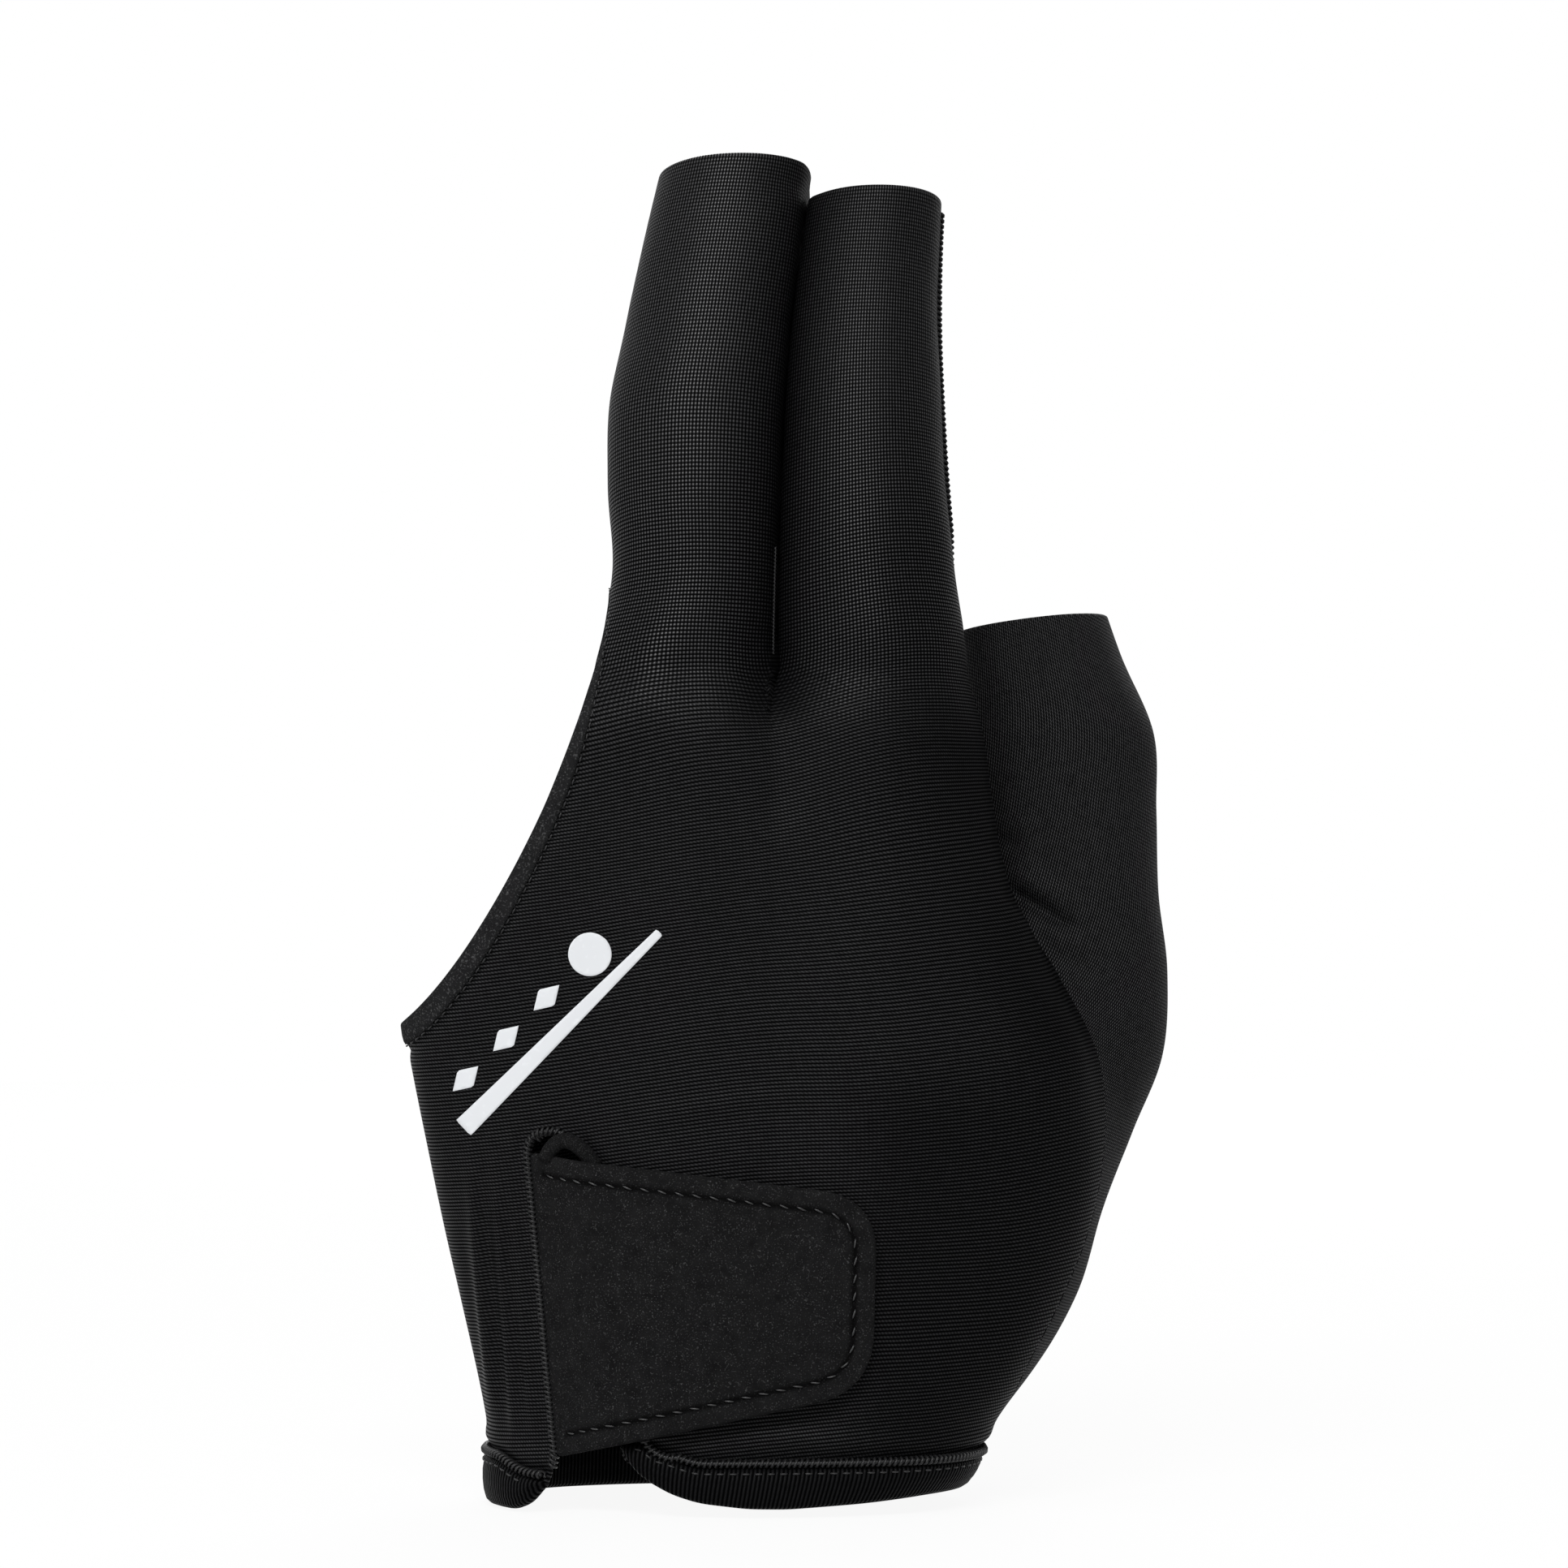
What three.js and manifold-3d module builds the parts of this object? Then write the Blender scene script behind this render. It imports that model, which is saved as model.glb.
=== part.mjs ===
// A three-finger cue glove for the left hand, in the shape that it has when it is worn.
//
// Millimetres. x runs towards the thumb, y from the back of the hand to the palm, and z from the
// wrist rim to the fingertips. The glove covers the palm, the thumb, the index finger and the
// middle finger. One wide bound opening frees the ring finger and the little finger, and a strap
// with a hook pad closes the slit in the back of the wrist.
//
// Every cloth layer is the space between two offsets of one hand form, cut to its pattern outline.

import * as THREE from 'three';
import { mergeVertices } from 'three/addons/utils/BufferGeometryUtils.js';
import Module from 'manifold-3d';

const wasm = await Module();
wasm.setup();

// ---- Driving dimensions ---------------------------------------------------------------------

const FABRIC = 1.0; // the knit fabric, one layer
const CLEARANCE = 0.3; // between two neighbouring pieces

const HAND_WIDTH = 95; // across the palm at its widest, without the thumb
const HAND_LENGTH = 121; // wrist rim to the web between the fingers
const WRIST_DEPTH = 44; // back to palm at the wrist rim

const SLEEVE_TILT = 14.5; // degrees, how far the finger sleeves lean towards the palm
const SLEEVE_SPACING = 0.7; // between the two finger sleeves
const MIDDLE_WIDTH = 25.6;
const MIDDLE_TOP = 193.8;
const INDEX_WIDTH = 26.8;
const INDEX_TOP = 189.5;
const THUMB_WIDTH = 36.4; // at the root of the thumb
const THUMB_TOP = 127.6;
const THUMB_TILT = 5; // degrees, as the sleeves' lean
const THUMB_ROLL = 7; // degrees, how far the thumb's end leans towards the index finger
const THUMB_OUT = 41; // from the middle of the hand to the middle of the thumb sleeve

const OPENING_CORNER = 68.6; // height of the lower corner of the two-finger opening
const OPENING_TOP = 131.5;
const OPENING_REACH = 31.8; // how far the opening's edge runs in from its corner
const OPENING_BINDING = 2.8; // width of the binding at the corner
const BINDING_PROUD = 0.35; // how far a binding stands out of the fabric, inside and outside

const SLIT_WIDTH = 9.2;
const SLIT_TOP = 54.5;
const SLIT_FOOT = -27.6; // x of the slit's middle line at the wrist rim
const SLIT_LEAN = 5.1; // degrees
const SLIT_CORNER = 3.0; // reach of the two round corners at the top of the slit
const SLIT_EDGING = 1.2; // width of the overlocked edge
const LOBE_HEIGHT = 8.6; // height of the rounded corners beside the slit
const WIDE_LOBE = 18.5; // length of the rounded corner on the thumb side
const NARROW_LOBE = 7.5; // length of the rounded corner on the little-finger side

const CUFF_HEIGHT = 7.0;
const CUFF_PROUD = 0.7; // how far the cuff binding stands out of the fabric, inside and outside
const HEM_DEPTH = 2.2; // how far the fabric goes into the cuff binding
const ELASTIC_HEIGHT = 2.6;
const CUFF_ROLL = 1.0; // the rolled seam above the cuff binding

const TAB_LENGTH = 49.5; // along its upper edge
const TAB_ROOT_HEIGHT = 43.6;
const TAB_END_HEIGHT = 27.6;
const TAB_UPPER_SLOPE = 7.0; // degrees, how far the upper edge falls towards the free end
const TAB_ROOT_BOTTOM = 8.0;
const TAB_CORNER = 8.5; // corner reach at the free end
const TAB_THICKNESS = 1.1;
const PAD_THICKNESS = 0.7; // each of the two fastener pads
const HOOK_PAD_LENGTH = 20;
const PAD_INSET = 4.2; // from the edge of the tab to the edge of a pad

const THREAD = 0.5; // sewing thread
const STITCH_INSET = 3.0; // from an edge to its row of stitches
const STITCH_START = 2.0; // from the strap's sewn edge to its first stitch
const SIDE_SEAM = 1.2; // width of the overlocked side seam of the index finger

const EMBLEM_X = -34.3;
const EMBLEM_Z = 71.3;
const EMBLEM_SLANT = 45; // degrees
const PRINT = 0.25; // thickness of the printed film
const CUE_LENGTH = 40;
const CUE_BUTT = 3.0;
const CUE_TIP = 1.2;
const BALL_RADIUS = 3.1;
const DIAMOND_LENGTH = 5.2;
const DIAMOND_WIDTH = 3.2;

// ---- The hand form --------------------------------------------------------------------------

const DEEP = 120; // reach of a cutter past the form
const PALM_SQUARENESS = 2.35; // exponents of the superellipse sections
const SLEEVE_SQUARENESS = 2.08;

const half = (value) => value / 2;
const radians = (degrees) => (degrees * Math.PI) / 180;

// Rows of the palm, in shares of its length, width and wrist depth:
// height, little-finger side, thumb side, middle of the depth, half depth.
const PALM_ROWS = [
  [0, -0.452, 0.262, 0.045, 0.5],
  [0.1, -0.458, 0.308, 0.041, 0.482],
  [0.25, -0.499, 0.405, 0.027, 0.445],
  [0.4, -0.54, 0.463, 0.005, 0.405],
  [0.53, -0.574, 0.468, -0.023, 0.373],
  [0.636, -0.593, 0.408, -0.043, 0.352],
  [0.736, -0.595, 0.345, -0.057, 0.341],
  [0.835, -0.579, 0.315, -0.066, 0.33],
  [0.926, -0.568, 0.293, -0.073, 0.309],
  [0.975, -0.563, 0.268, -0.075, 0.264],
  [1, -0.558, 0.242, -0.075, 0.182],
];

// Heights of the finger rows in shares of the middle sleeve's top, and what each sleeve is there:
// half width in shares of its width, and the x where the two sleeves meet, in shares of the hand.
const FINGER_HEIGHTS = [0.5, 0.58, 0.638, 0.7, 0.763, 0.826, 0.886, 0.947, 1.04];
const VALLEY_X = [-0.009, -0.009, -0.009, -0.007, -0.003, 0.003, 0.013, 0.028, 0.052];
const MIDDLE_HALF = [0.5, 0.505, 0.5, 0.472, 0.492, 0.5, 0.472, 0.455, 0.417];
const INDEX_HALF = [0.47, 0.487, 0.497, 0.463, 0.436, 0.413, 0.389, 0.367, 0.345];
const FINGER_DEPTH = 0.9; // depth of a finger sleeve in shares of its width

// Rows of the thumb, in shares of its top, its reach and its width:
// height, middle x, half width, middle of the depth, half depth.
const THUMB_ROWS = [
  [0.055, 0.22, 0.385, 0.14, 0.33],
  [0.138, 0.408, 0.489, 0.206, 0.45],
  [0.232, 0.592, 0.495, 0.261, 0.47],
  [0.326, 0.688, 0.5, 0.316, 0.46],
  [0.415, 0.806, 0.5, 0.352, 0.44],
  [0.506, 0.933, 0.48, 0.379, 0.407],
  [0.6, 1.006, 0.418, 0.401, 0.368],
  [0.694, 1.008, 0.382, 0.42, 0.341],
  [0.788, 1.015, 0.363, 0.437, 0.33],
  [0.878, 1.01, 0.36, 0.45, 0.324],
  [0.969, 0.938, 0.308, 0.461, 0.291],
  [1.06, 0.87, 0.27, 0.47, 0.26],
];

const palmRows = PALM_ROWS.map(([height, left, right, middle, depth]) => ({
  z: height * HAND_LENGTH,
  x: half(left + right) * HAND_WIDTH,
  halfX: half(right - left) * HAND_WIDTH,
  y: middle * WRIST_DEPTH,
  halfY: depth * WRIST_DEPTH,
}));

// The finger sleeves leave the palm along its middle and curve towards the palm side.
const palmEnd = palmRows[palmRows.length - 1];
const leanStart = FINGER_HEIGHTS[1] * MIDDLE_TOP;
const leanEnd = FINGER_HEIGHTS[4] * MIDDLE_TOP;

function fingerMiddle(z) {
  const bent = THREE.MathUtils.clamp(z - leanStart, 0, leanEnd - leanStart);
  const curved = half(bent * bent) / (leanEnd - leanStart);
  const straight = Math.max(0, z - leanEnd);
  return palmEnd.y + (curved + straight) * Math.tan(radians(SLEEVE_TILT));
}

function fingerRows(width, halves, side) {
  return FINGER_HEIGHTS.map((height, i) => {
    const z = height * MIDDLE_TOP;
    const halfX = halves[i] * width;
    return {
      z,
      x: VALLEY_X[i] * HAND_WIDTH + side * (halfX + half(SLEEVE_SPACING)),
      halfX,
      y: fingerMiddle(z),
      halfY: halfX * FINGER_DEPTH,
    };
  });
}

const middleRows = fingerRows(MIDDLE_WIDTH, MIDDLE_HALF, -1);
const indexRows = fingerRows(INDEX_WIDTH, INDEX_HALF, 1);

const thumbRows = THUMB_ROWS.map(([height, out, width, middle, depth]) => ({
  z: height * THUMB_TOP,
  x: out * THUMB_OUT,
  halfX: width * THUMB_WIDTH,
  y: middle * THUMB_WIDTH,
  halfY: depth * THUMB_WIDTH,
}));

// The section at any height, on a smooth curve through the rows.
function sectionAt(rows, z) {
  const last = rows.length - 1;
  let i = 0;
  while (i < last - 1 && z > rows[i + 1].z) i += 1;
  const [before, low, high, after] = [rows[Math.max(0, i - 1)], rows[i], rows[i + 1], rows[Math.min(last, i + 2)]];
  const span = high.z - low.z;
  const t = THREE.MathUtils.clamp((z - low.z) / span, 0, 1);
  const section = { z };
  for (const key of ['x', 'halfX', 'y', 'halfY']) {
    const slopeLow = ((high[key] - before[key]) / (high.z - before.z)) * span;
    const slopeHigh = ((after[key] - low[key]) / (after.z - low.z)) * span;
    section[key] =
      (1 + 2 * t) * (1 - t) * (1 - t) * low[key] +
      t * (1 - t) * (1 - t) * slopeLow +
      t * t * (3 - 2 * t) * high[key] -
      t * t * (1 - t) * slopeHigh;
  }
  return section;
}

// ---- Solids ---------------------------------------------------------------------------------

function solidOf(geometry) {
  const bare = geometry.clone();
  bare.deleteAttribute('normal');
  bare.deleteAttribute('uv');
  const merged = mergeVertices(bare, 1e-4);
  const mesh = new wasm.Mesh({
    numProp: 3,
    vertProperties: new Float32Array(merged.attributes.position.array),
    triVerts: new Uint32Array(merged.index.array),
  });
  return new wasm.Manifold(mesh);
}

// A closed tube of superellipse sections. `offset` is a number, or a function of x and z, and
// above `crown` it also lifts the tube's closed top.
function tube(rows, offset, segments, squareness, crown = Infinity) {
  const offsetAt = typeof offset === 'function' ? offset : () => offset;
  const top = rows[rows.length - 1].z;
  const levels = rows.map((row) => row.z);
  const lift = (z, out) => (z > crown ? (out * (z - crown)) / (top - crown) : 0);
  const positions = [];
  const indices = [];
  for (const z of levels) {
    const { x, y, halfX, halfY } = sectionAt(rows, z);
    for (let i = 0; i < segments; i += 1) {
      const angle = (2 * Math.PI * i) / segments;
      const [c, s] = [Math.cos(angle), Math.sin(angle)];
      const shareX = Math.sign(c) * Math.abs(c) ** (2 / squareness);
      const shareY = Math.sign(s) * Math.abs(s) ** (2 / squareness);
      const out = offsetAt(x + shareX * halfX, z);
      positions.push(x + shareX * (halfX + out), y + shareY * (halfY + out), z + lift(z, out));
    }
  }
  const rings = levels.length;
  for (let ring = 0; ring < rings - 1; ring += 1) {
    for (let i = 0; i < segments; i += 1) {
      const a = ring * segments + i;
      const b = ring * segments + ((i + 1) % segments);
      indices.push(a, b, b + segments, a, b + segments, a + segments);
    }
  }
  for (const [ring, flip] of [[0, true], [rings - 1, false]]) {
    const { x, y } = sectionAt(rows, levels[ring]);
    const centre = positions.length / 3;
    positions.push(x, y, levels[ring] + lift(levels[ring], offsetAt(x, levels[ring])));
    for (let i = 0; i < segments; i += 1) {
      const a = ring * segments + i;
      const b = ring * segments + ((i + 1) % segments);
      indices.push(centre, flip ? b : a, flip ? a : b);
    }
  }
  const geometry = new THREE.BufferGeometry();
  geometry.setAttribute('position', new THREE.Float32BufferAttribute(positions, 3));
  geometry.setIndex(indices);
  return solidOf(geometry);
}

const PALM_SEGMENTS = 44;
const FINGER_SEGMENTS = 26;
const THUMB_SEGMENTS = 28;

const knuckles = palmRows[palmRows.length - 4].z;

const palmForm = (offset) => tube(palmRows, offset, PALM_SEGMENTS, PALM_SQUARENESS, knuckles);
const middleForm = (offset) => tube(middleRows, offset, FINGER_SEGMENTS, SLEEVE_SQUARENESS);
const indexForm = (offset) => tube(indexRows, offset, FINGER_SEGMENTS, SLEEVE_SQUARENESS);
const thumbForm = (offset) => tube(thumbRows, offset, THUMB_SEGMENTS, SLEEVE_SQUARENESS);
const handForm = (offset) => palmForm(offset).add(middleForm(offset)).add(indexForm(offset));

// An outline in x and z, extruded along y.
function prismAcross(shape, from = -DEEP, to = DEEP) {
  const geometry = new THREE.ExtrudeGeometry(shape, { depth: to - from, bevelEnabled: false, curveSegments: 10 });
  geometry.rotateX(Math.PI / 2);
  geometry.translate(0, to, 0);
  return solidOf(geometry);
}

// An outline in y and z, extruded along x.
function prismAlong(shape, from, to) {
  const geometry = new THREE.ExtrudeGeometry(shape, { depth: to - from, bevelEnabled: false });
  const [alongX, alongY, alongZ] = [[1, 0, 0], [0, 1, 0], [0, 0, 1]].map((axis) => new THREE.Vector3(...axis));
  geometry.applyMatrix4(new THREE.Matrix4().makeBasis(alongY, alongZ, alongX));
  geometry.translate(from, 0, 0);
  return solidOf(geometry);
}

function outline(points) {
  return new THREE.Shape(points.map(([x, z]) => new THREE.Vector2(x, z)));
}

function block(x0, x1, z0, z1) {
  return prismAcross(outline([[x0, z0], [x1, z0], [x1, z1], [x0, z1]]));
}

const slab = (z0, z1) => block(-DEEP, DEEP, z0, z1);

// ---- Where the back panel meets the palm panel ----------------------------------------------

const splitHeights = [...palmRows.slice(0, -1).map((row) => row.z), ...FINGER_HEIGHTS.slice(2).map((h) => h * MIDDLE_TOP)];
const splitLine = [-DEEP, ...splitHeights, 2 * MIDDLE_TOP].map((z) => {
  const y = z < HAND_LENGTH ? sectionAt(palmRows, Math.max(0, z)).y : fingerMiddle(z);
  return [y, z];
});

const beforeSplit = (gap) => {
  const line = splitLine.map(([y, z]) => [y - gap, z]);
  return prismAlong(outline([[-DEEP, 2 * MIDDLE_TOP], [-DEEP, -DEEP], ...line]), -DEEP, DEEP);
};
const backSide = beforeSplit(half(CLEARANCE));
const palmSide = slab(-DEEP / 2, 2 * MIDDLE_TOP - 1).subtract(beforeSplit(-half(CLEARANCE)));
const seamSlab = beforeSplit(-half(SIDE_SEAM)).subtract(beforeSplit(half(SIDE_SEAM)));

// ---- Openings -------------------------------------------------------------------------------

// Everything above a sleeve's open end, on its own `side` of the valley between the sleeves. The
// cut is square to the sleeve, which leans by `tilt` degrees towards the palm and by `roll`
// degrees towards the little finger.
function aboveEnd(rows, top, tilt, roll, side) {
  const { x, y, halfX } = sectionAt(rows, top);
  const geometry = new THREE.BoxGeometry(DEEP, 2 * DEEP, DEEP);
  geometry.translate(side * (half(DEEP) - halfX - half(SLEEVE_SPACING)), 0, half(DEEP));
  geometry.rotateX(-radians(tilt));
  geometry.rotateY(-radians(roll));
  geometry.translate(x, y, top);
  return solidOf(geometry);
}

const sleeveEnds = aboveEnd(middleRows, MIDDLE_TOP, SLEEVE_TILT, 1, -1)
  .add(aboveEnd(indexRows, INDEX_TOP, SLEEVE_TILT, 0, 1));
const thumbEnd = aboveEnd(thumbRows, THUMB_TOP, THUMB_TILT, THUMB_ROLL, 1);

// The edge that frees the ring and little fingers runs from a low corner on the little-finger
// side up to the root of the middle finger.
const openingCorner = new THREE.Vector2(palmRows[5].x - palmRows[5].halfX, OPENING_CORNER);
const openingTop = new THREE.Vector2(openingCorner.x + OPENING_REACH, OPENING_TOP);
const edgePoint = (shareX, shareZ) =>
  new THREE.Vector2(
    openingCorner.x + shareX * OPENING_REACH,
    openingCorner.y + shareZ * (OPENING_TOP - OPENING_CORNER),
  );
const openingEdge = new THREE.CubicBezierCurve(openingCorner, edgePoint(0.42, 0.14), edgePoint(0.97, 0.735), openingTop);
const OPENING_STEPS = 16;
const NARROWING = 0.5; // the binding's width at the top of the opening, in shares of that at the corner

// The two-finger opening, grown all round by `grow` times the width of the binding plus `extra`.
function openingCut(grow, extra) {
  const points = [];
  for (let i = 0; i <= OPENING_STEPS; i += 1) {
    const t = i / OPENING_STEPS;
    const point = openingEdge.getPoint(t);
    const tangent = openingEdge.getTangent(t);
    const width = grow * OPENING_BINDING * THREE.MathUtils.lerp(1, NARROWING, t) + extra;
    points.push([point.x + tangent.y * width, point.y - tangent.x * width]);
  }
  const start = points[0];
  const end = points[points.length - 1];
  const rise = grow * OPENING_BINDING + extra;
  points.push([end[0], end[1] + rise], [-DEEP, end[1] + rise], [-DEEP, start[1] - 20], [start[0] - 20, start[1] - 20]);
  return prismAcross(outline(points));
}

const LOBE_BEND = 0.75; // where a lobe's curve pulls towards, in shares of its length

// The slit in the back of the wrist: straight sides, round corners at the top, and lobes where
// it meets the rim.
const slitMiddle = (z) => SLIT_FOOT - z * Math.tan(radians(SLIT_LEAN));

function slitCut(grow) {
  const reach = half(SLIT_WIDTH) + grow;
  const top = SLIT_TOP + grow;
  const shoulder = SLIT_TOP - SLIT_CORNER;
  const lobe = LOBE_HEIGHT - grow;
  const wideEnd = slitMiddle(0) + reach + WIDE_LOBE;
  const narrowEnd = slitMiddle(0) - reach - NARROW_LOBE;
  const shape = new THREE.Shape();
  shape.moveTo(narrowEnd, -DEEP);
  shape.lineTo(wideEnd, -DEEP);
  shape.lineTo(wideEnd, -grow);
  shape.quadraticCurveTo(wideEnd - LOBE_BEND * WIDE_LOBE, -grow, slitMiddle(lobe) + reach, lobe);
  shape.lineTo(slitMiddle(shoulder) + reach, shoulder);
  shape.quadraticCurveTo(slitMiddle(top) + reach, top, slitMiddle(top) + reach - SLIT_CORNER, top);
  shape.lineTo(slitMiddle(top) - reach + SLIT_CORNER, top);
  shape.quadraticCurveTo(slitMiddle(top) - reach, top, slitMiddle(shoulder) - reach, shoulder);
  shape.lineTo(slitMiddle(lobe) - reach, lobe);
  shape.quadraticCurveTo(narrowEnd + LOBE_BEND * NARROW_LOBE, -grow, narrowEnd, -grow);
  return prismAcross(shape, -DEEP, 0);
}

// ---- Fabric panels --------------------------------------------------------------------------

const hemBottom = CUFF_HEIGHT - HEM_DEPTH;
const inside = handForm(-FABRIC).add(thumbForm(-FABRIC));
const openEdges = openingCut(1, CLEARANCE).add(slab(-DEEP / 2, hemBottom)).add(sleeveEnds);
const handFabric = handForm(0).subtract(inside).subtract(openEdges);

const backPanel = handFabric
  .intersect(backSide)
  .subtract(slitCut(SLIT_EDGING + CLEARANCE))
  .subtract(thumbForm(CLEARANCE));
const palmPanel = handFabric.intersect(palmSide).subtract(thumbForm(CLEARANCE));
const thumbPanel = thumbForm(0).subtract(inside).subtract(handForm(CLEARANCE)).subtract(thumbEnd);

// ---- Bindings and seams ---------------------------------------------------------------------

const layer = (form, inner, outer) => form(outer).subtract(form(inner));

const bindingLayer = layer(handForm, -FABRIC - BINDING_PROUD, BINDING_PROUD);
const openingBinding = bindingLayer.intersect(openingCut(1, 0)).subtract(openingCut(0, 0));
const slitEdging = bindingLayer
  .intersect(slitCut(SLIT_EDGING))
  .subtract(slitCut(0))
  .intersect(slab(CUFF_HEIGHT + CLEARANCE, MIDDLE_TOP));

const cuffLayer = layer(palmForm, -FABRIC - CUFF_PROUD, CUFF_PROUD);
const hemLayer = layer(palmForm, -FABRIC - CLEARANCE, CLEARANCE);
const elasticTop = hemBottom - 2 * CLEARANCE - half(FABRIC);
const cuffBinding = cuffLayer
  .intersect(slab(0, CUFF_HEIGHT))
  .subtract(hemLayer.intersect(slab(hemBottom - CLEARANCE, DEEP)))
  .subtract(hemLayer.intersect(slab(elasticTop - ELASTIC_HEIGHT - CLEARANCE, elasticTop + CLEARANCE)))
  .subtract(slitCut(0));
const cuffElastic = layer(palmForm, -FABRIC, 0)
  .intersect(slab(elasticTop - ELASTIC_HEIGHT, elasticTop))
  .subtract(slitCut(1));
const cuffRoll = layer(palmForm, CLEARANCE, CUFF_ROLL)
  .intersect(slab(CUFF_HEIGHT + CLEARANCE, CUFF_HEIGHT + CLEARANCE + CUFF_ROLL))
  .subtract(slitCut(SLIT_EDGING + CLEARANCE));

const openingStitch = layer(handForm, CLEARANCE, CLEARANCE + THREAD)
  .intersect(openingCut(1, 2 * CLEARANCE + THREAD))
  .subtract(openingCut(1, CLEARANCE));
const cuffStitch = layer(palmForm, CUFF_PROUD + CLEARANCE, CUFF_PROUD + CLEARANCE + THREAD)
  .intersect(slab(CUFF_HEIGHT - 2 * THREAD, CUFF_HEIGHT - THREAD))
  .subtract(slitCut(1));

const crotchHeight = 0.78 * HAND_LENGTH;
const seamRise = slab(crotchHeight, 2 * MIDDLE_TOP);
const indexSeam = layer(handForm, CLEARANCE, CLEARANCE + half(SIDE_SEAM))
  .intersect(seamSlab)
  .intersect(seamRise)
  .intersect(block(indexRows[2].x, DEEP, 0, 2 * MIDDLE_TOP))
  .subtract(sleeveEnds);
const webSeam = layer(handForm, -FABRIC - CLEARANCE - half(SIDE_SEAM), -FABRIC - CLEARANCE)
  .intersect(seamSlab)
  .intersect(seamRise)
  .intersect(block(middleRows[2].x, indexRows[2].x, 0, 2 * MIDDLE_TOP))
  .subtract(sleeveEnds);

// ---- The strap ------------------------------------------------------------------------------

const rootAt = (z) => slitMiddle(z) - half(SLIT_WIDTH) + CLEARANCE;
const rootTop = TAB_ROOT_BOTTOM + TAB_ROOT_HEIGHT;
const tabRoot = [TAB_ROOT_BOTTOM, rootTop].map((z) => new THREE.Vector2(rootAt(z), z));
const tabEndTop = new THREE.Vector2(
  tabRoot[1].x + TAB_LENGTH,
  rootTop - TAB_LENGTH * Math.tan(radians(TAB_UPPER_SLOPE)),
);
const tabEndBottom = new THREE.Vector2(tabEndTop.x - 1, tabEndTop.y - TAB_END_HEIGHT);
const tabCorners = [tabRoot[0], tabEndBottom, tabEndTop, tabRoot[1]];

// The tab's four corners moved in by `inset`, with the two at the free end rounded.
function tabOutline(inset, rootInset) {
  const lines = tabCorners.map((corner, i) => {
    const along = tabCorners[(i + 1) % 4].clone().sub(corner).normalize();
    const move = i === 3 ? rootInset : inset;
    return { point: corner.clone().add(new THREE.Vector2(-along.y, along.x).multiplyScalar(move)), along };
  });
  const corners = lines.map((line, i) => {
    const previous = lines[(i + 3) % 4];
    const gap = line.point.clone().sub(previous.point);
    const reach = gap.cross(line.along) / previous.along.cross(line.along);
    return previous.point.clone().add(previous.along.clone().multiplyScalar(reach));
  });
  const round = Math.max(TAB_CORNER - inset, 1);
  const shape = new THREE.Shape();
  shape.moveTo(corners[0].x, corners[0].y);
  for (const i of [1, 2]) {
    const before = corners[i].clone().sub(lines[i - 1].along.clone().multiplyScalar(round));
    const after = corners[i].clone().add(lines[i].along.clone().multiplyScalar(round));
    shape.lineTo(before.x, before.y);
    shape.quadraticCurveTo(corners[i].x, corners[i].y, after.x, after.y);
  }
  shape.lineTo(corners[3].x, corners[3].y);
  return shape;
}

const tabPrism = (inset, rootInset) => prismAcross(tabOutline(inset, rootInset), -DEEP, 0);

// The two pads lie between the fabric and the tab, so the tab climbs from the slit's edge to them.
const loopTop = CLEARANCE + PAD_THICKNESS;
const hookTop = loopTop + CLEARANCE + PAD_THICKNESS;
const tabLift = hookTop + CLEARANCE;
const loopStart = rootAt(TAB_ROOT_BOTTOM) + SLIT_WIDTH + SLIT_EDGING;
const climbAt = (x, z) => {
  const climb = THREE.MathUtils.smoothstep(x, rootAt(z), rootAt(z) + SLIT_WIDTH - CLEARANCE);
  return THREE.MathUtils.lerp(-TAB_THICKNESS, tabLift, climb);
};
const tabForm = (above) => palmForm((x, z) => climbAt(x, z) + above);

const strapTab = layer(tabForm, 0, TAB_THICKNESS).intersect(tabPrism(0, 0));
const tabStitch = layer(tabForm, TAB_THICKNESS + CLEARANCE, TAB_THICKNESS + CLEARANCE + THREAD)
  .intersect(tabPrism(STITCH_INSET, STITCH_START))
  .subtract(tabPrism(STITCH_INSET + THREAD, -1));
const loopPad = layer(palmForm, CLEARANCE, loopTop)
  .intersect(tabPrism(PAD_INSET, 0))
  .intersect(block(loopStart, DEEP, 0, DEEP));
const hookPad = layer(palmForm, loopTop + CLEARANCE, hookTop)
  .intersect(tabPrism(PAD_INSET, 0))
  .intersect(block(tabEndTop.x - HOOK_PAD_LENGTH, DEEP, 0, DEEP));

// ---- The printed emblem ---------------------------------------------------------------------

// A plain cue, a ball and three rail diamonds. `along` runs up the slant and `across` to its left.
function printed(points) {
  const [c, s] = [Math.cos(radians(EMBLEM_SLANT)), Math.sin(radians(EMBLEM_SLANT))];
  const placed = points.map(([along, across]) => [
    EMBLEM_X + along * c - across * s,
    EMBLEM_Z + along * s + across * c,
  ]);
  return layer(handForm, CLEARANCE, CLEARANCE + PRINT).intersect(prismAcross(outline(placed), -DEEP, 0));
}

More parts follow.
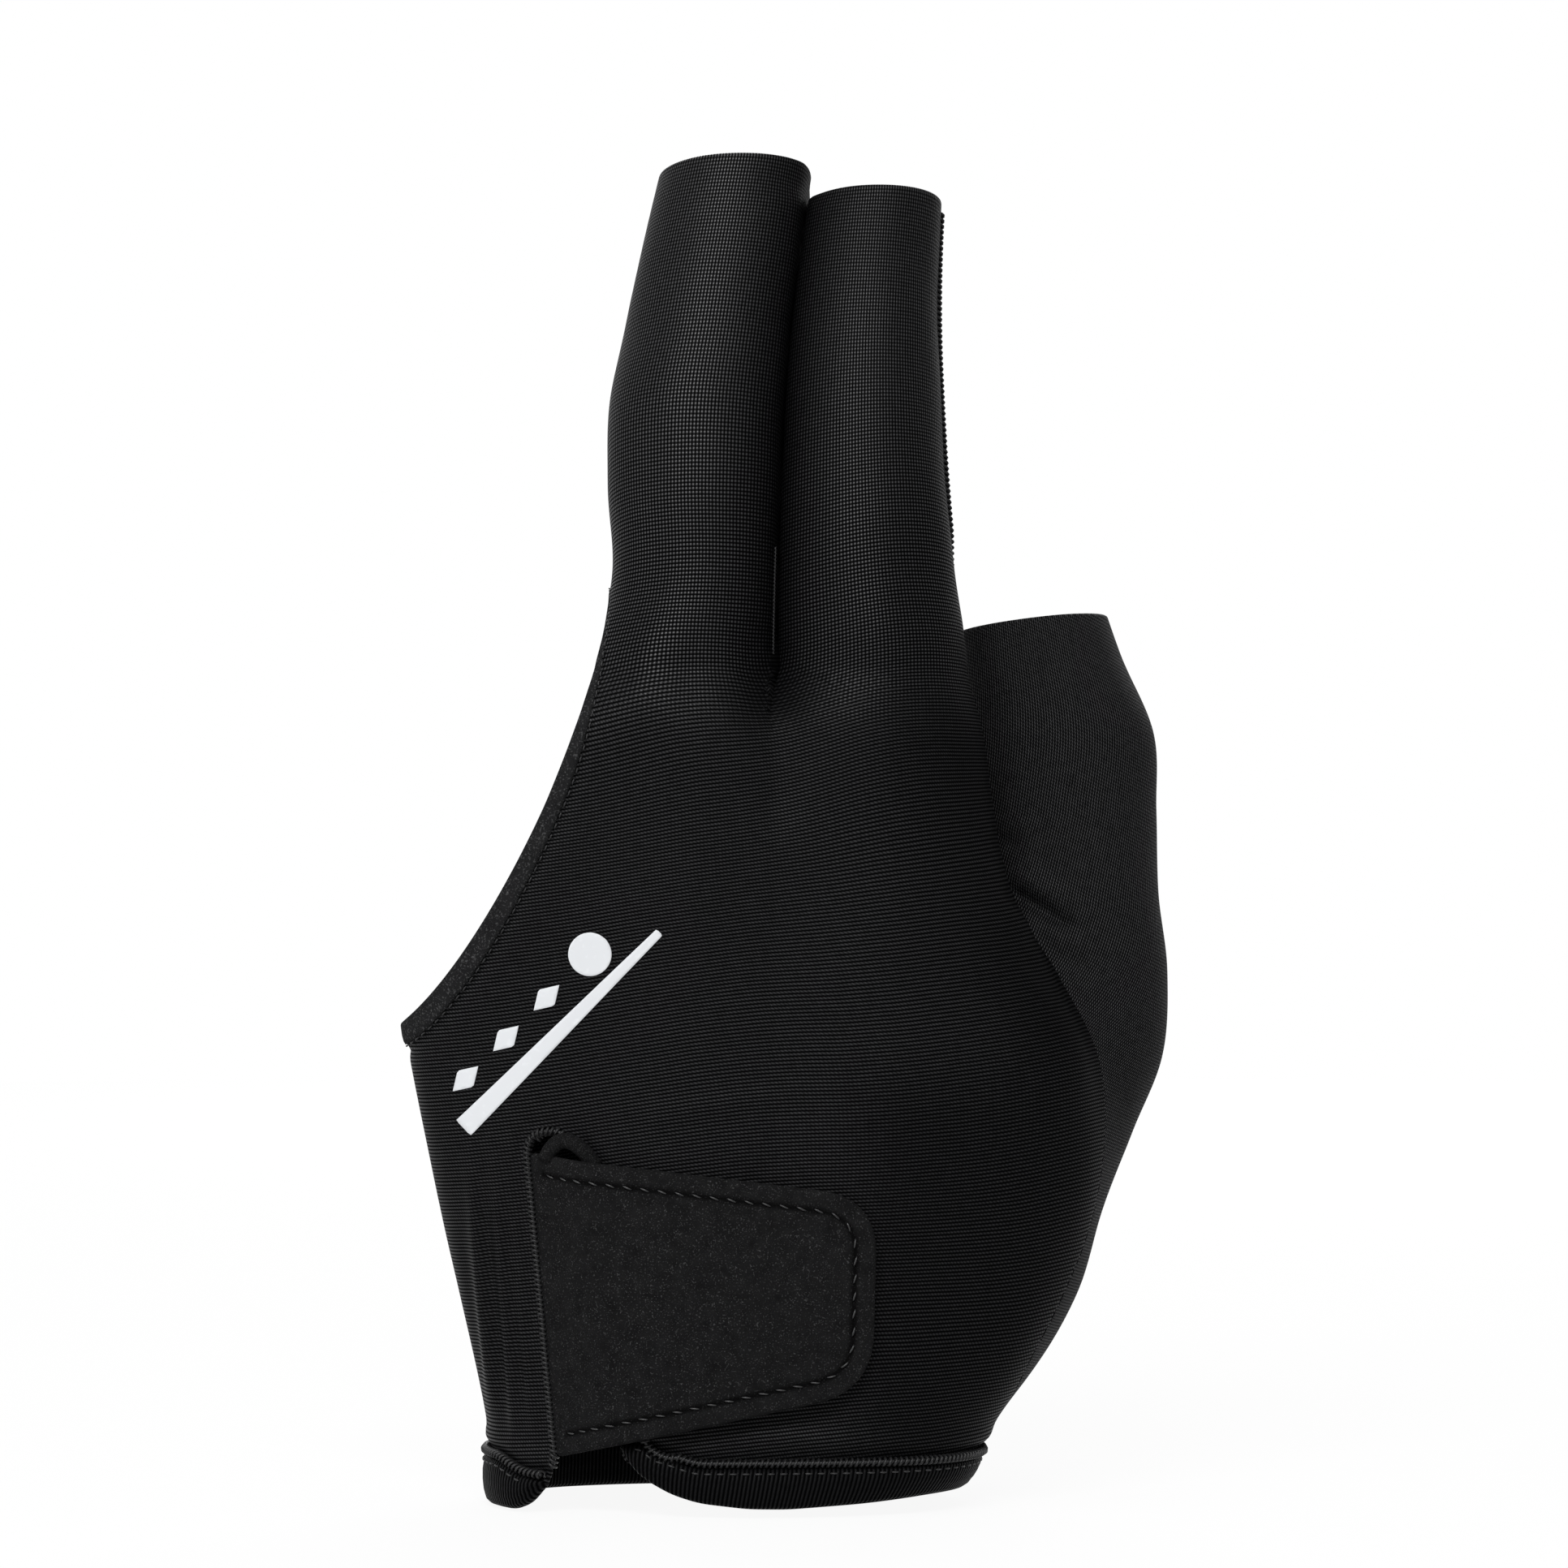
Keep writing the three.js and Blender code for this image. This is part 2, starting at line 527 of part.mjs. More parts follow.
const cueAcross = -DIAMOND_WIDTH;
const cue = printed([
  [-half(CUE_LENGTH), cueAcross - half(CUE_BUTT)],
  [half(CUE_LENGTH), cueAcross - half(CUE_TIP)],
  [half(CUE_LENGTH), cueAcross + half(CUE_TIP)],
  [-half(CUE_LENGTH), cueAcross + half(CUE_BUTT)],
]);
const ballAlong = half(CUE_LENGTH) - 3 * BALL_RADIUS;
const BALL_SIDES = 28;
const ball = printed(
  Array.from({ length: BALL_SIDES }, (unused, i) => {
    const angle = (2 * Math.PI * i) / BALL_SIDES;
    return [ballAlong + BALL_RADIUS * Math.cos(angle), half(DIAMOND_WIDTH) + BALL_RADIUS * Math.sin(angle)];
  }),
);
const diamonds = [1, 2, 3].map((count) => {
  const along = ballAlong - BALL_RADIUS - 1.6 * count * DIAMOND_LENGTH + half(DIAMOND_LENGTH);
  return printed([
    [along - half(DIAMOND_LENGTH), half(DIAMOND_WIDTH)],
    [along, 0],
    [along + half(DIAMOND_LENGTH), half(DIAMOND_WIDTH)],
    [along, DIAMOND_WIDTH],
  ]);
});

// ---- Assembly -------------------------------------------------------------------------------

const materials = {
  tricot: { color: 0x17171a, roughness: 0.55, metalness: 0 },
  thumbTricot: { color: 0x1c1c1f, roughness: 0.6, metalness: 0 },
  binding: { color: 0x202022, roughness: 0.8, metalness: 0 },
  microfibre: { color: 0x2b2b2d, roughness: 0.92, metalness: 0 },
  pad: { color: 0x121213, roughness: 0.95, metalness: 0 },
  thread: { color: 0x3a3a3d, roughness: 0.5, metalness: 0 },
  elastic: { color: 0x161617, roughness: 0.85, metalness: 0 },
  print: { color: 0xf2f2f2, roughness: 0.5, metalness: 0 },
};

const glove = new THREE.Group();

function place(name, solid, material) {
  const mesh = solid.getMesh();
  const geometry = new THREE.BufferGeometry();
  geometry.setAttribute('position', new THREE.BufferAttribute(new Float32Array(mesh.vertProperties), 3));
  geometry.setIndex(new THREE.BufferAttribute(new Uint32Array(mesh.triVerts), 1));
  geometry.computeVertexNormals();
  const piece = new THREE.Mesh(geometry, new THREE.MeshStandardMaterial(materials[material]));
  piece.name = name;
  glove.add(piece);
}

place('back_panel', backPanel, 'tricot');
place('palm_panel', palmPanel, 'tricot');
place('thumb_panel', thumbPanel, 'thumbTricot');
place('opening_binding', openingBinding, 'binding');
place('cuff_binding', cuffBinding, 'binding');
place('cuff_elastic', cuffElastic, 'elastic');
place('cuff_roll', cuffRoll, 'binding');
place('slit_edging', slitEdging, 'thread');
place('index_side_seam', indexSeam, 'thread');
place('web_seam', webSeam, 'thread');
place('strap_tab', strapTab, 'microfibre');
place('strap_hook_pad', hookPad, 'pad');
place('strap_loop_pad', loopPad, 'pad');
place('strap_stitching', tabStitch, 'thread');
place('opening_stitching', openingStitch, 'thread');
place('cuff_stitching', cuffStitch, 'thread');
place('emblem_cue', cue, 'print');
place('emblem_ball', ball, 'print');
diamonds.forEach((diamond, i) => place(`emblem_diamond_${i + 1}`, diamond, 'print'));

// The origin is under the middle of the glove, on the plane of the wrist rim.
const middle = new THREE.Box3().setFromObject(glove).getCenter(new THREE.Vector3());
glove.position.set(-middle.x, -middle.y, 0);

export default glove;
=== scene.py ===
import math
from functools import partial

import bpy
import numpy as np
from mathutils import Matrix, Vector


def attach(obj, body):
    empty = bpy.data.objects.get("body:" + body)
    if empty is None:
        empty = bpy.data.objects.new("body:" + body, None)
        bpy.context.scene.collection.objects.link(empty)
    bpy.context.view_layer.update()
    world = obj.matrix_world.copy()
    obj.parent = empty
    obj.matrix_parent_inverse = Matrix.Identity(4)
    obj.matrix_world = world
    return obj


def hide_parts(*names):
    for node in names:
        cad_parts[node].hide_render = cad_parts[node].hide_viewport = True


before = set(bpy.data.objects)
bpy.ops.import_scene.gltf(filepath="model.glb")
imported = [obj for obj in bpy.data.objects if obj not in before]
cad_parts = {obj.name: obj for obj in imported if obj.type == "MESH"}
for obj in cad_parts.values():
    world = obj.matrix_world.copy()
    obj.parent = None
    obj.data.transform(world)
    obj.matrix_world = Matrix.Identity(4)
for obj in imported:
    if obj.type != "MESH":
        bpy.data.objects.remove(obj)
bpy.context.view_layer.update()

# Lengths are in millimetres in the frame of the hand, until mesh_object() makes an object of them.
# x runs to the thumb, y from the back of the hand to the palm, z from the wrist to the fingertips.
HAND_TO_PART = np.array([-0.4354572, -2.7461948, 0.0])  # the part's frame is in the middle of its box
MM = 0.001
FABRIC = 0.9  # how thick the knit is
STEP = 0.8  # of the grid over the whole form


def smooth(t):
    t = np.clip(t, 0, 1)
    return t * t * (3 - 2 * t)


def soft_min(a, b, k):
    h = np.clip(0.5 + 0.5 * (b - a) / k, 0, 1)
    return b + (a - b) * h - k * h * (1 - h)


def soft_max(a, b, k):
    return -soft_min(-a, -b, k)


def bell(t):
    return np.exp(-(t**2))


def signed_power(value, power):
    return np.sign(value) * np.abs(value) ** power


def columns(*values):
    return np.column_stack(values)


def unit(v):
    return v / np.maximum(np.linalg.norm(v, axis=1, keepdims=True), 1e-9)


def run_length(path):
    """How far along a path each of its points is."""
    return np.concatenate([[0], np.cumsum(np.linalg.norm(np.diff(path, axis=0), axis=1))])


# ---- The hand form

WIDTH, LENGTH, DEPTH = 95.0, 121.0, 44.0
# height, little-finger side, thumb side, middle of the depth, half depth
PALM = np.array([
    [0, -0.452, 0.262, 0.045, 0.5], [0.1, -0.458, 0.308, 0.041, 0.482],
    [0.25, -0.499, 0.405, 0.027, 0.445], [0.4, -0.54, 0.463, 0.005, 0.405],
    [0.53, -0.574, 0.468, -0.023, 0.373], [0.636, -0.593, 0.408, -0.043, 0.352],
    [0.736, -0.595, 0.345, -0.057, 0.341], [0.835, -0.579, 0.315, -0.066, 0.33],
    [0.926, -0.568, 0.293, -0.073, 0.309], [0.975, -0.563, 0.268, -0.075, 0.264],
    [1, -0.558, 0.242, -0.075, 0.182],
])
height, little, thumb, middle, half = PALM.T
palm_rows = columns(height, (little + thumb) / 2, (thumb - little) / 2, middle, half)
palm_rows *= [LENGTH, WIDTH, WIDTH, DEPTH, DEPTH]

MIDDLE_WIDTH, MIDDLE_TOP, INDEX_WIDTH, INDEX_TOP = 25.6, 193.8, 26.8, 189.5
SLEEVE_TILT = math.radians(14.5)
HALF_FORK = 0.35  # from a sleeve to the middle of the valley between the two
FINGER_Z = np.array([0.5, 0.58, 0.638, 0.7, 0.763, 0.826, 0.886, 0.947, 1.04]) * MIDDLE_TOP
VALLEY = np.array([-0.009, -0.009, -0.009, -0.007, -0.003, 0.003, 0.013, 0.028, 0.052]) * WIDTH
MIDDLE_HALF = np.array([0.5, 0.505, 0.5, 0.472, 0.492, 0.5, 0.472, 0.455, 0.417]) * MIDDLE_WIDTH
INDEX_HALF = np.array([0.47, 0.487, 0.497, 0.463, 0.436, 0.413, 0.389, 0.367, 0.345]) * INDEX_WIDTH
bend_from, bend_to = FINGER_Z[1], FINGER_Z[4]
bent = np.clip(FINGER_Z - bend_from, 0, bend_to - bend_from)
finger_y = palm_rows[-1, 3] + (
    bent**2 / 2 / (bend_to - bend_from) + np.maximum(0, FINGER_Z - bend_to)
) * math.tan(SLEEVE_TILT)


def finger_rows(halves, side):
    return columns(FINGER_Z, VALLEY + side * (halves + HALF_FORK), halves, finger_y, 0.9 * halves)


middle_rows = finger_rows(MIDDLE_HALF, -1)
index_rows = finger_rows(INDEX_HALF, 1)

THUMB_TOP, THUMB_OUT, THUMB_WIDTH = 127.6, 41.0, 36.4
# height, middle x, half width, middle of the depth, half depth
THUMB = np.array([
    [0.055, 0.22, 0.385, 0.14, 0.33], [0.138, 0.408, 0.489, 0.206, 0.45],
    [0.232, 0.592, 0.495, 0.261, 0.47], [0.326, 0.688, 0.5, 0.316, 0.46],
    [0.415, 0.806, 0.5, 0.352, 0.44], [0.506, 0.933, 0.48, 0.379, 0.407],
    [0.6, 1.006, 0.418, 0.401, 0.368], [0.694, 1.008, 0.382, 0.42, 0.341],
    [0.788, 1.015, 0.363, 0.437, 0.33], [0.878, 1.01, 0.36, 0.45, 0.324],
    [0.969, 0.938, 0.308, 0.461, 0.291], [1.06, 0.87, 0.27, 0.47, 0.26],
])
thumb_rows = THUMB * [THUMB_TOP, THUMB_OUT, THUMB_WIDTH, THUMB_WIDTH, THUMB_WIDTH]
PALM_SQUARE, SLEEVE_SQUARE = 2.35, 2.08


def section(rows, z):
    """Middle x, half width, middle y and half depth at any height, on a smooth curve through rows."""
    heights = rows[:, 0]
    slope = np.empty_like(rows)
    slope[1:-1] = (rows[2:] - rows[:-2]) / (heights[2:] - heights[:-2])[:, None]
    slope[0] = (rows[1] - rows[0]) / (heights[1] - heights[0])
    slope[-1] = (rows[-1] - rows[-2]) / (heights[-1] - heights[-2])
    i = np.clip(np.searchsorted(heights, z, side="right") - 1, 0, len(rows) - 2)
    span = (heights[i + 1] - heights[i])[..., None]
    t = np.clip((z - heights[i]) / span[..., 0], 0, 1)[..., None]
    s = (
        (1 + 2 * t) * (1 - t) ** 2 * rows[i]
        + t * (1 - t) ** 2 * span * slope[i]
        + t * t * (3 - 2 * t) * rows[i + 1]
        - t * t * (1 - t) * span * slope[i + 1]
    )
    return s[..., 1], s[..., 2], s[..., 3], s[..., 4]


def tube(rows, square, inner, x, y, z):
    """About the distance to a tube of superellipses. Toward its neighbour a sleeve is a little wider."""
    cx, hx, cy, hy = section(rows, z)
    dx = x - cx
    if inner:
        hx = np.where(dx * inner < 0, hx + 1.8 - 1.4 * smooth((z - 188.5) / 4), hx)
    a, b = np.abs(dx) / hx, np.abs(y - cy) / hy
    g = np.maximum(a**square + b**square, 1e-4) ** (1 / square)
    slope = np.hypot((a / g) ** (square - 1) / hx, (b / g) ** (square - 1) / hy)
    return (g - 1) / np.maximum(slope, 1e-3)


SLEEVE_GAP, SPREAD, CROTCH = 0.1, 1.4, 113.0


def valley(y, z):
    """Where the two finger sleeves press on each other, and how far apart they are, 0 to 1."""
    cx, hx, cy, hy = section(index_rows, z)
    return cx - hx - HALF_FORK + 0.12 * (y - cy), smooth((z - CROTCH) / 3)


index_part = partial(tube, index_rows, SLEEVE_SQUARE, 1)
middle_part = partial(tube, middle_rows, SLEEVE_SQUARE, -1)
thumb_part = partial(tube, thumb_rows, SLEEVE_SQUARE, 1)
palm_part = partial(tube, palm_rows, PALM_SQUARE, 0)


def hand_part(x, y, z):
    """The palm with the two finger sleeves. The middle one swells where it meets the bound opening."""
    line, apart = valley(y, z)
    dx = x - line
    swell = 2.1 * smooth((z - 106) / 12) * smooth((132.5 - z) / 13) * smooth((-12 - x) / 10)
    sleeve = np.where(dx > 0, index_part(x, y, z), middle_part(x, y, z) - swell)
    sleeve = soft_max(sleeve, SLEEVE_GAP / 2 * apart - np.abs(dx), 1.0)
    return soft_min(soft_max(palm_part(x, y, z), z - 118.5, 8), sleeve, 7)


def form(x, y, z):
    k = 1.2 + 2.8 * (1 - smooth((z - 70) / 30)) + 5 * (1 - smooth((z - 40) / 30))
    return soft_min(hand_part(x, y, z), thumb_part(x, y, z), k)


def slope_of(f, p):
    """How fast f grows along x, y and z, measured over h on both sides."""
    h = 0.02
    return np.stack([(f(*(p + s).T) - f(*(p - s).T)) / (2 * h) for s in np.eye(3) * h], -1)


def onto(f, p, times=2, limit=1.0):
    """Moves points onto f = 0."""
    for _ in range(times):
        g = slope_of(f, p)
        far = np.clip(f(*p.T) / np.maximum((g * g).sum(1), 1e-6), -limit, limit)
        p = p - g * far[:, None]
    return p


def normals(p, f=form):
    return unit(slope_of(f, p))


def between(inside, outside, f):
    """The point of each segment where f changes sign, found by halving."""
    for _ in range(36):
        middle = (inside + outside) / 2
        out = (f(*middle.T) > 0)[:, None]
        outside, inside = np.where(out, middle, outside), np.where(out, inside, middle)
    return inside


def on_back(x, z, f=form):
    return between(columns(x, x * 0 - 3, z), columns(x, x * 0 - 45, z), f)


# ---- One mesh over the whole form, from which the panels are cut


def form_mesh():
    """Quads over form = 0, one point to each grid cell that form = 0 runs through.

    The two finger sleeves are meshed SPREAD apart and then pushed together.
    """
    lo, hi = np.array([(-60.0, -28.0, 2.0), (60.0, 32.0, 201.0)])
    axes = [np.arange(a, b + STEP, STEP) for a, b in zip(lo, hi)]
    q, y, z = np.meshgrid(*axes, indexing="ij", sparse=True)

    def pulled(q, y, z):
        line, apart = valley(y, z)
        far, spread, gap = np.abs(q - line), SPREAD * apart, SLEEVE_GAP * apart
        near = gap * far / np.maximum(spread, 1e-6)
        return line + np.sign(q - line) * np.where(far < spread, near, far - spread + gap)

    value = form(pulled(q, y, z), y, z)
    inside, size, step = value < 0, np.array(value.shape) - 1, np.eye(3, dtype=int)
    corners = [(i, j, k) for i in (0, 1) for j in (0, 1) for k in (0, 1)]
    count = sum(inside[tuple(slice(i, i + n) for i, n in zip(c, size))].astype(int) for c in corners)
    mixed = (count > 0) & (count < 8)
    number = np.full(mixed.shape, -1)
    number[mixed] = np.arange(mixed.sum())
    cell = np.argwhere(mixed)
    place, times = np.zeros((len(cell), 3)), np.zeros(len(cell))
    for c, axis in ((c, axis) for c in corners for axis in range(3) if not c[axis]):
        a, b = value[tuple((cell + c).T)], value[tuple((cell + c + step[axis]).T)]
        hit = (a < 0) != (b < 0)
        share = np.where(hit, a / np.where(hit, a - b, 1), 0)
        place[hit] += (np.array(c) + share[:, None] * step[axis])[hit]
        times += hit
    points = lo + (cell + place / times[:, None]) * STEP
    quads = []
    for axis in range(3):
        u, v = (axis + 1) % 3, (axis + 2) % 3
        edge = np.argwhere(np.diff(inside, axis=axis))
        edge = edge[(edge[:, u] > 0) & (edge[:, v] > 0) & (edge[:, u] < size[u]) & (edge[:, v] < size[v])]
        ring = [edge, edge - step[u], edge - step[u] - step[v], edge - step[v]]
        quad = columns(*[number[tuple(r.T)] for r in ring])
        quads.append(np.where(inside[tuple(edge.T)][:, None], quad, quad[:, ::-1]))
    quads = np.vstack(quads)
    points[:, 0] = pulled(*points.T)
    points = onto(form, points, 3, STEP)
    a, b = quads.ravel(), np.roll(quads, -1, axis=1).ravel()
    ends, others = np.concatenate([a, b]), np.concatenate([b, a])
    shared = np.bincount(ends, minlength=len(points))[:, None]
    for _ in range(4):
        total = columns(*[np.bincount(ends, points[others, i], len(points)) for i in range(3)])
        points = onto(form, 0.4 * points + 0.6 * total / shared, 1, STEP)
    return onto(form, points), [tuple(q) for q in quads.tolist()]


def clip(points, faces, value, f=form):
    """The part of a mesh where value >= 0, with its new edge on value = 0."""

    def settle(p):
        for _ in range(3):
            p = onto(f, onto(value, p, 1, 0.4), 1, 0.4)
        return p

    points, at = points.copy(), value(*points.T)
    near = np.abs(at) < 0.25 * STEP
    points[near] = settle(points[near])
    at[near] = 0
    at = at.tolist()
    cuts, new, kept = {}, [], []
    for face in faces:
        values = [at[i] for i in face]
        if max(values) <= 0:
            continue
        if min(values) >= 0:
            kept.append(face)
            continue
        part = []
        for i, j, a, b in zip(face, face[1:] + face[:1], values, values[1:] + values[:1]):
            if a >= 0:
                part.append(i)
            if a * b < 0:
                key = (min(i, j), max(i, j))
                if key not in cuts:
                    cuts[key] = len(points) + len(new)
                    new.append(points[i] + (points[j] - points[i]) * (a / (a - b)))
                part.append(cuts[key])
        if len(part) > 2:
            kept.append(tuple(part))
    if new:
        points = np.vstack([points, settle(np.array(new))])
    used = np.unique(np.concatenate(kept))
    number = np.full(len(points), -1)
    number[used] = np.arange(len(used))
    number = number.tolist()
    return points[used], [tuple(number[i] for i in face) for face in kept]


def border(faces):
    """Edges with one face, each in the direction of its face."""
    edges = {edge: True for face in faces for edge in zip(face, face[1:] + face[:1])}
    return [(a, b) for a, b in edges if (b, a) not in edges]


def loops(faces):
    """The borders as rings of vertices in order."""
    after = dict(border(faces))
    rings = []
    while after:
        start, here = after.popitem()
        ring = [start]
        while here != start and here in after:
            ring.append(here)
            here = after.pop(here)
        rings.append(ring)
    return rings


# ---- Outlines

OPENING_LOW, OPENING_HIGH = 68.6, 131.5


def bezier(points, steps):
    t = np.linspace(0, 1, steps + 1)[:, None]
    level = [np.array(p, float) * np.ones_like(t) for p in points]
    while len(level) > 1:
        level = [a * (1 - t) + b * t for a, b in zip(level, level[1:])]
    return level[0]


def outline_distance(outline, x, z):
    """Distance in x and z to a closed outline, negative inside it."""
    far, inside = np.full(np.shape(x), 1e9), np.zeros(np.shape(x), bool)
    for (ax, az), (bx, bz) in zip(outline, np.roll(outline, -1, axis=0)):
        ex, ez = bx - ax, bz - az
        t = np.clip(((x - ax) * ex + (z - az) * ez) / max(ex * ex + ez * ez, 1e-12), 0, 1)
        far = np.minimum(far, (x - ax - t * ex) ** 2 + (z - az - t * ez) ** 2)
        if ez:
            inside ^= ((az > z) != (bz > z)) & (x < ex * (z - az) / ez + ax)
    far = np.sqrt(far)
    return np.where(inside, -far, far)


corner = np.array([palm_rows[5, 1] - palm_rows[5, 2], OPENING_LOW])
reach = np.array([31.8, OPENING_HIGH - OPENING_LOW])
sweep = np.array([(0, 0), (0.42, 0.14), (0.97, 0.735), (1, 1)])
opening_edge = bezier(corner + reach * sweep, 40)
opening_edge[:, 0] -= 1.05 * smooth((opening_edge[:, 1] - 100) / 24)
opening_outline = np.vstack([
    opening_edge,
    opening_edge[-1] + bezier([(-0.1, 0.8), (-0.3, 1.8), (-1.5, 2.4), (-4.0, 2.5)], 6),
    [(-120, 134), (-120, 48), (corner[0] - 20, 48)],
])

SLIT_X, SLIT_LEAN = -27.6, math.radians(5.1)
SLIT_HALF, SLIT_TOP, SLIT_CORNER, LOBE, CUFF = 4.6, 54.5, 3.0, 8.6, 7.6


def slit_middle(z):
    return SLIT_X - z * math.tan(SLIT_LEAN)


def slit_outline(grow):
    """The slit, with the rounded lobes of the cuff on both sides of its foot."""
    half, top, shoulder, lobe = SLIT_HALF + grow, SLIT_TOP + grow, SLIT_TOP - SLIT_CORNER, LOBE - grow
    wide, narrow = slit_middle(0) + half + 18.5, slit_middle(0) - half - 7.5

    def side(turn, z):
        return slit_middle(z) + turn * half

    return np.vstack([
        bezier([(wide, -grow), (wide - 13.9, -grow), (side(1, lobe), lobe)], 12),
        bezier([
            (side(1, shoulder), shoulder - 3), (side(1, shoulder), shoulder - 0.5),
            (side(1, top) - 3.2, top - 0.2), (slit_middle(top) - 0.6, top),
        ], 12),
        bezier([
            (slit_middle(top) - 1.4, top), (side(-1, top) + 0.2, top),
            (side(-1, shoulder), shoulder - 0.5),
        ], 8),
        bezier([(side(-1, lobe), lobe), (narrow + 5.6, -grow), (narrow, -grow)], 8),
        [(narrow, -60), (wide, -60)],
    ])


slit = slit_outline(0)


def split_y(z):
    palm, finger = section(palm_rows, z)[2], section(middle_rows, z)[2]
    return np.where(z < LENGTH, palm, finger)


def seam_y(x, z):
    """Where the back and the palm meet: below the index sleeve, the seam turns to the palm."""
    return split_y(z) + 5 * smooth((141 - z) / 25) * smooth((x - 4) / 16)


def roll_z(x, y):
    """Height of the rolled seam above the cuff: it dips and rises at the lobes beside the slit."""
    right = CUFF + 1.9 * smooth((-12 - x) / 8)
    left = CUFF - 0.4 - 1.8 * smooth((x + 44) / 9)
    lobes = np.where(x > slit_middle(CUFF), right, left)
    return CUFF + (lobes - CUFF) * smooth((-6 - y) / 6)


def plane(rows, top, tilt, roll):
    cx, _, cy, _ = section(rows, top)
    n = np.array([-math.sin(roll) * math.cos(tilt), math.sin(tilt), math.cos(roll) * math.cos(tilt)])
    return lambda x, y, z: -((x - cx) * n[0] + (y - cy) * n[1] + (z - top) * n[2])


middle_end = plane(middle_rows, MIDDLE_TOP, SLEEVE_TILT, math.radians(1))
index_end = plane(index_rows, INDEX_TOP, SLEEVE_TILT, 0)
thumb_end = plane(thumb_rows, THUMB_TOP, math.radians(5), math.radians(7))


def below_ends(x, y, z):
    line, _ = valley(y, z)
    return np.where(x > line, index_end(x, y, z), middle_end(x, y, z))


def opening(x, y, z):
    return outline_distance(opening_outline, x, z)


BINDING_WIDE, BINDING_NARROW = 2.9, 1.0


def binding_width(z):
    return np.interp(z, [OPENING_LOW, OPENING_HIGH], [BINDING_WIDE, BINDING_NARROW])


# ---- Relief: what the fabric does beyond the smooth form

# x and z of both ends, width, height, and which side: -1 the back, 1 the palm
STROKES = [
    (32, 89.2, 42.5, 83, 0.9, -1.5, -1), (33.5, 91.5, 42, 86.5, 1.6, 0.7, -1),
    (33, 86, 43, 79.5, 1.8, 0.55, -1), (37, 82, 45.5, 76, 1.3, -0.35, -1),
    (39, 78.5, 47, 72.5, 1.4, 0.3, -1), (30, 97.2, 34, 95, 0.9, -0.5, -1),
    (31, 99.5, 37, 97, 1.5, 0.3, -1), (34, 80, 40, 74, 1.2, -0.3, -1),
    (-13.5, 142, -13, 80, 6, 0.45, -1), (11.5, 142, 16.5, 72, 6, 0.45, -1),
    (-0.8, 122, -0.5, 97, 3.6, -0.8, -1), (-5, 128, -4, 111, 2.6, -0.5, -1),
    (-45.4, 52, -42.2, 12, 1.1, 0.7, -1), (-43.6, 46, -40.3, 12, 0.8, -0.6, -1),
    (-41.8, 52, -38.8, 10, 0.9, 0.65, -1), (-40.2, 42, -37.3, 14, 0.6, -0.5, -1),
    (-39.2, 36, -36.2, 12, 0.7, 0.45, -1), (-46.8, 40, -43.8, 16, 1, -0.5, -1),
    (-20, 56.8, 2, 60.5, 1.4, 0.25, -1), (-14, 12, 14, 10.2, 1.5, 0.35, -1),
    (-16, 9.8, 20, 9, 1.1, -0.35, -1), (-42, 96, 8, 104, 1.5, -0.5, 1), (-46, 84, 2, 97, 1.7, -0.55, 1),
    (-2, 92, 12, 58, 1.8, -0.7, 1), (12, 58, 8, 24, 1.9, -0.6, 1), (-38, 14.5, 18, 13.5, 1.6, -0.4, 1),
    (-36, 18.5, 12, 17, 1.8, 0.35, 1), (-24, 151, -2, 152, 1.7, -0.5, 1),
    (-22.5, 153.5, -3, 154.2, 1.3, 0.3, 1), (1, 149, 23, 148, 1.7, -0.5, 1),
    (2, 151.5, 22, 150.6, 1.3, 0.3, 1), (-20, 176, -1, 177, 1.5, -0.4, 1),
    (3, 172, 21, 171, 1.5, -0.4, 1), (-28, 124.5, 24, 124, 1.6, -0.5, 1), (30, 98, 50, 101, 2, -0.45, 1),
    (26, 70, 52, 80, 2.2, -0.45, 1), (-50, 60, -30, 50, 2.2, -0.4, 1),
]


def relief(p, n):
    x, y, z = p.T
    out = 0.10 * np.sin(0.21 * x + 0.9 * np.sin(0.11 * z)) * np.sin(0.17 * z + 0.35 * y + 1.0)
    for x0, z0, x1, z1, width, height, side in STROKES:
        ex, ez = x1 - x0, z1 - z0
        length = math.hypot(ex, ez)
        t = ((x - x0) * ex + (z - z0) * ez) / length**2
        across = np.abs((x - x0) * ez - (z - z0) * ex) / length
        taper = smooth((t + 0.12) / 0.4) * smooth((1.12 - t) / 0.4)
        facing = smooth(n[:, 1] * side * 2.2 + 0.1)
        out += height * taper * facing * bell(across / width)
    gather = opening(x, y, z) - binding_width(z)
    out -= 0.35 * bell((gather - 0.3) / 0.6) * smooth((126 - z) / 25)
    above = z - roll_z(x, y)
    out += 0.4 * bell((above - 2.2) / 1.2) - 0.5 * bell(above / 1.2)
    slit_near = outline_distance(slit, x, z)
    out -= 0.3 * bell((slit_near - 1.4) / 0.7) * (y < -5)
    return out


# ---- Weave coordinates, in millimetres along a rib and across the ribs

WALE, RIB = 0.5, 0.55
PALM_WALES, SLEEVE_WALES, THUMB_RIBS = 400, 150, 200


def around(rows, square, p):
    """How far round a tube a point is, -0.5 to 0.5, from the tube's middle line on the back."""
    cx, hx, cy, hy = section(rows, p[:, 2])
    a, b = (p[:, 0] - cx) / hx, (p[:, 1] - cy) / hy
    angle = np.arctan2(signed_power(a, square / 2), -signed_power(b, square / 2))
    psi = np.linspace(-math.pi, math.pi, 721)
    _, wide, _, deep = section(rows, rows[len(rows) // 2, 0])
    across, through = signed_power(np.sin(psi), 2 / square), signed_power(np.cos(psi), 2 / square)
    run = run_length(columns(across * wide, through * deep))
    return np.interp(angle, psi, run / run[-1] - 0.5)


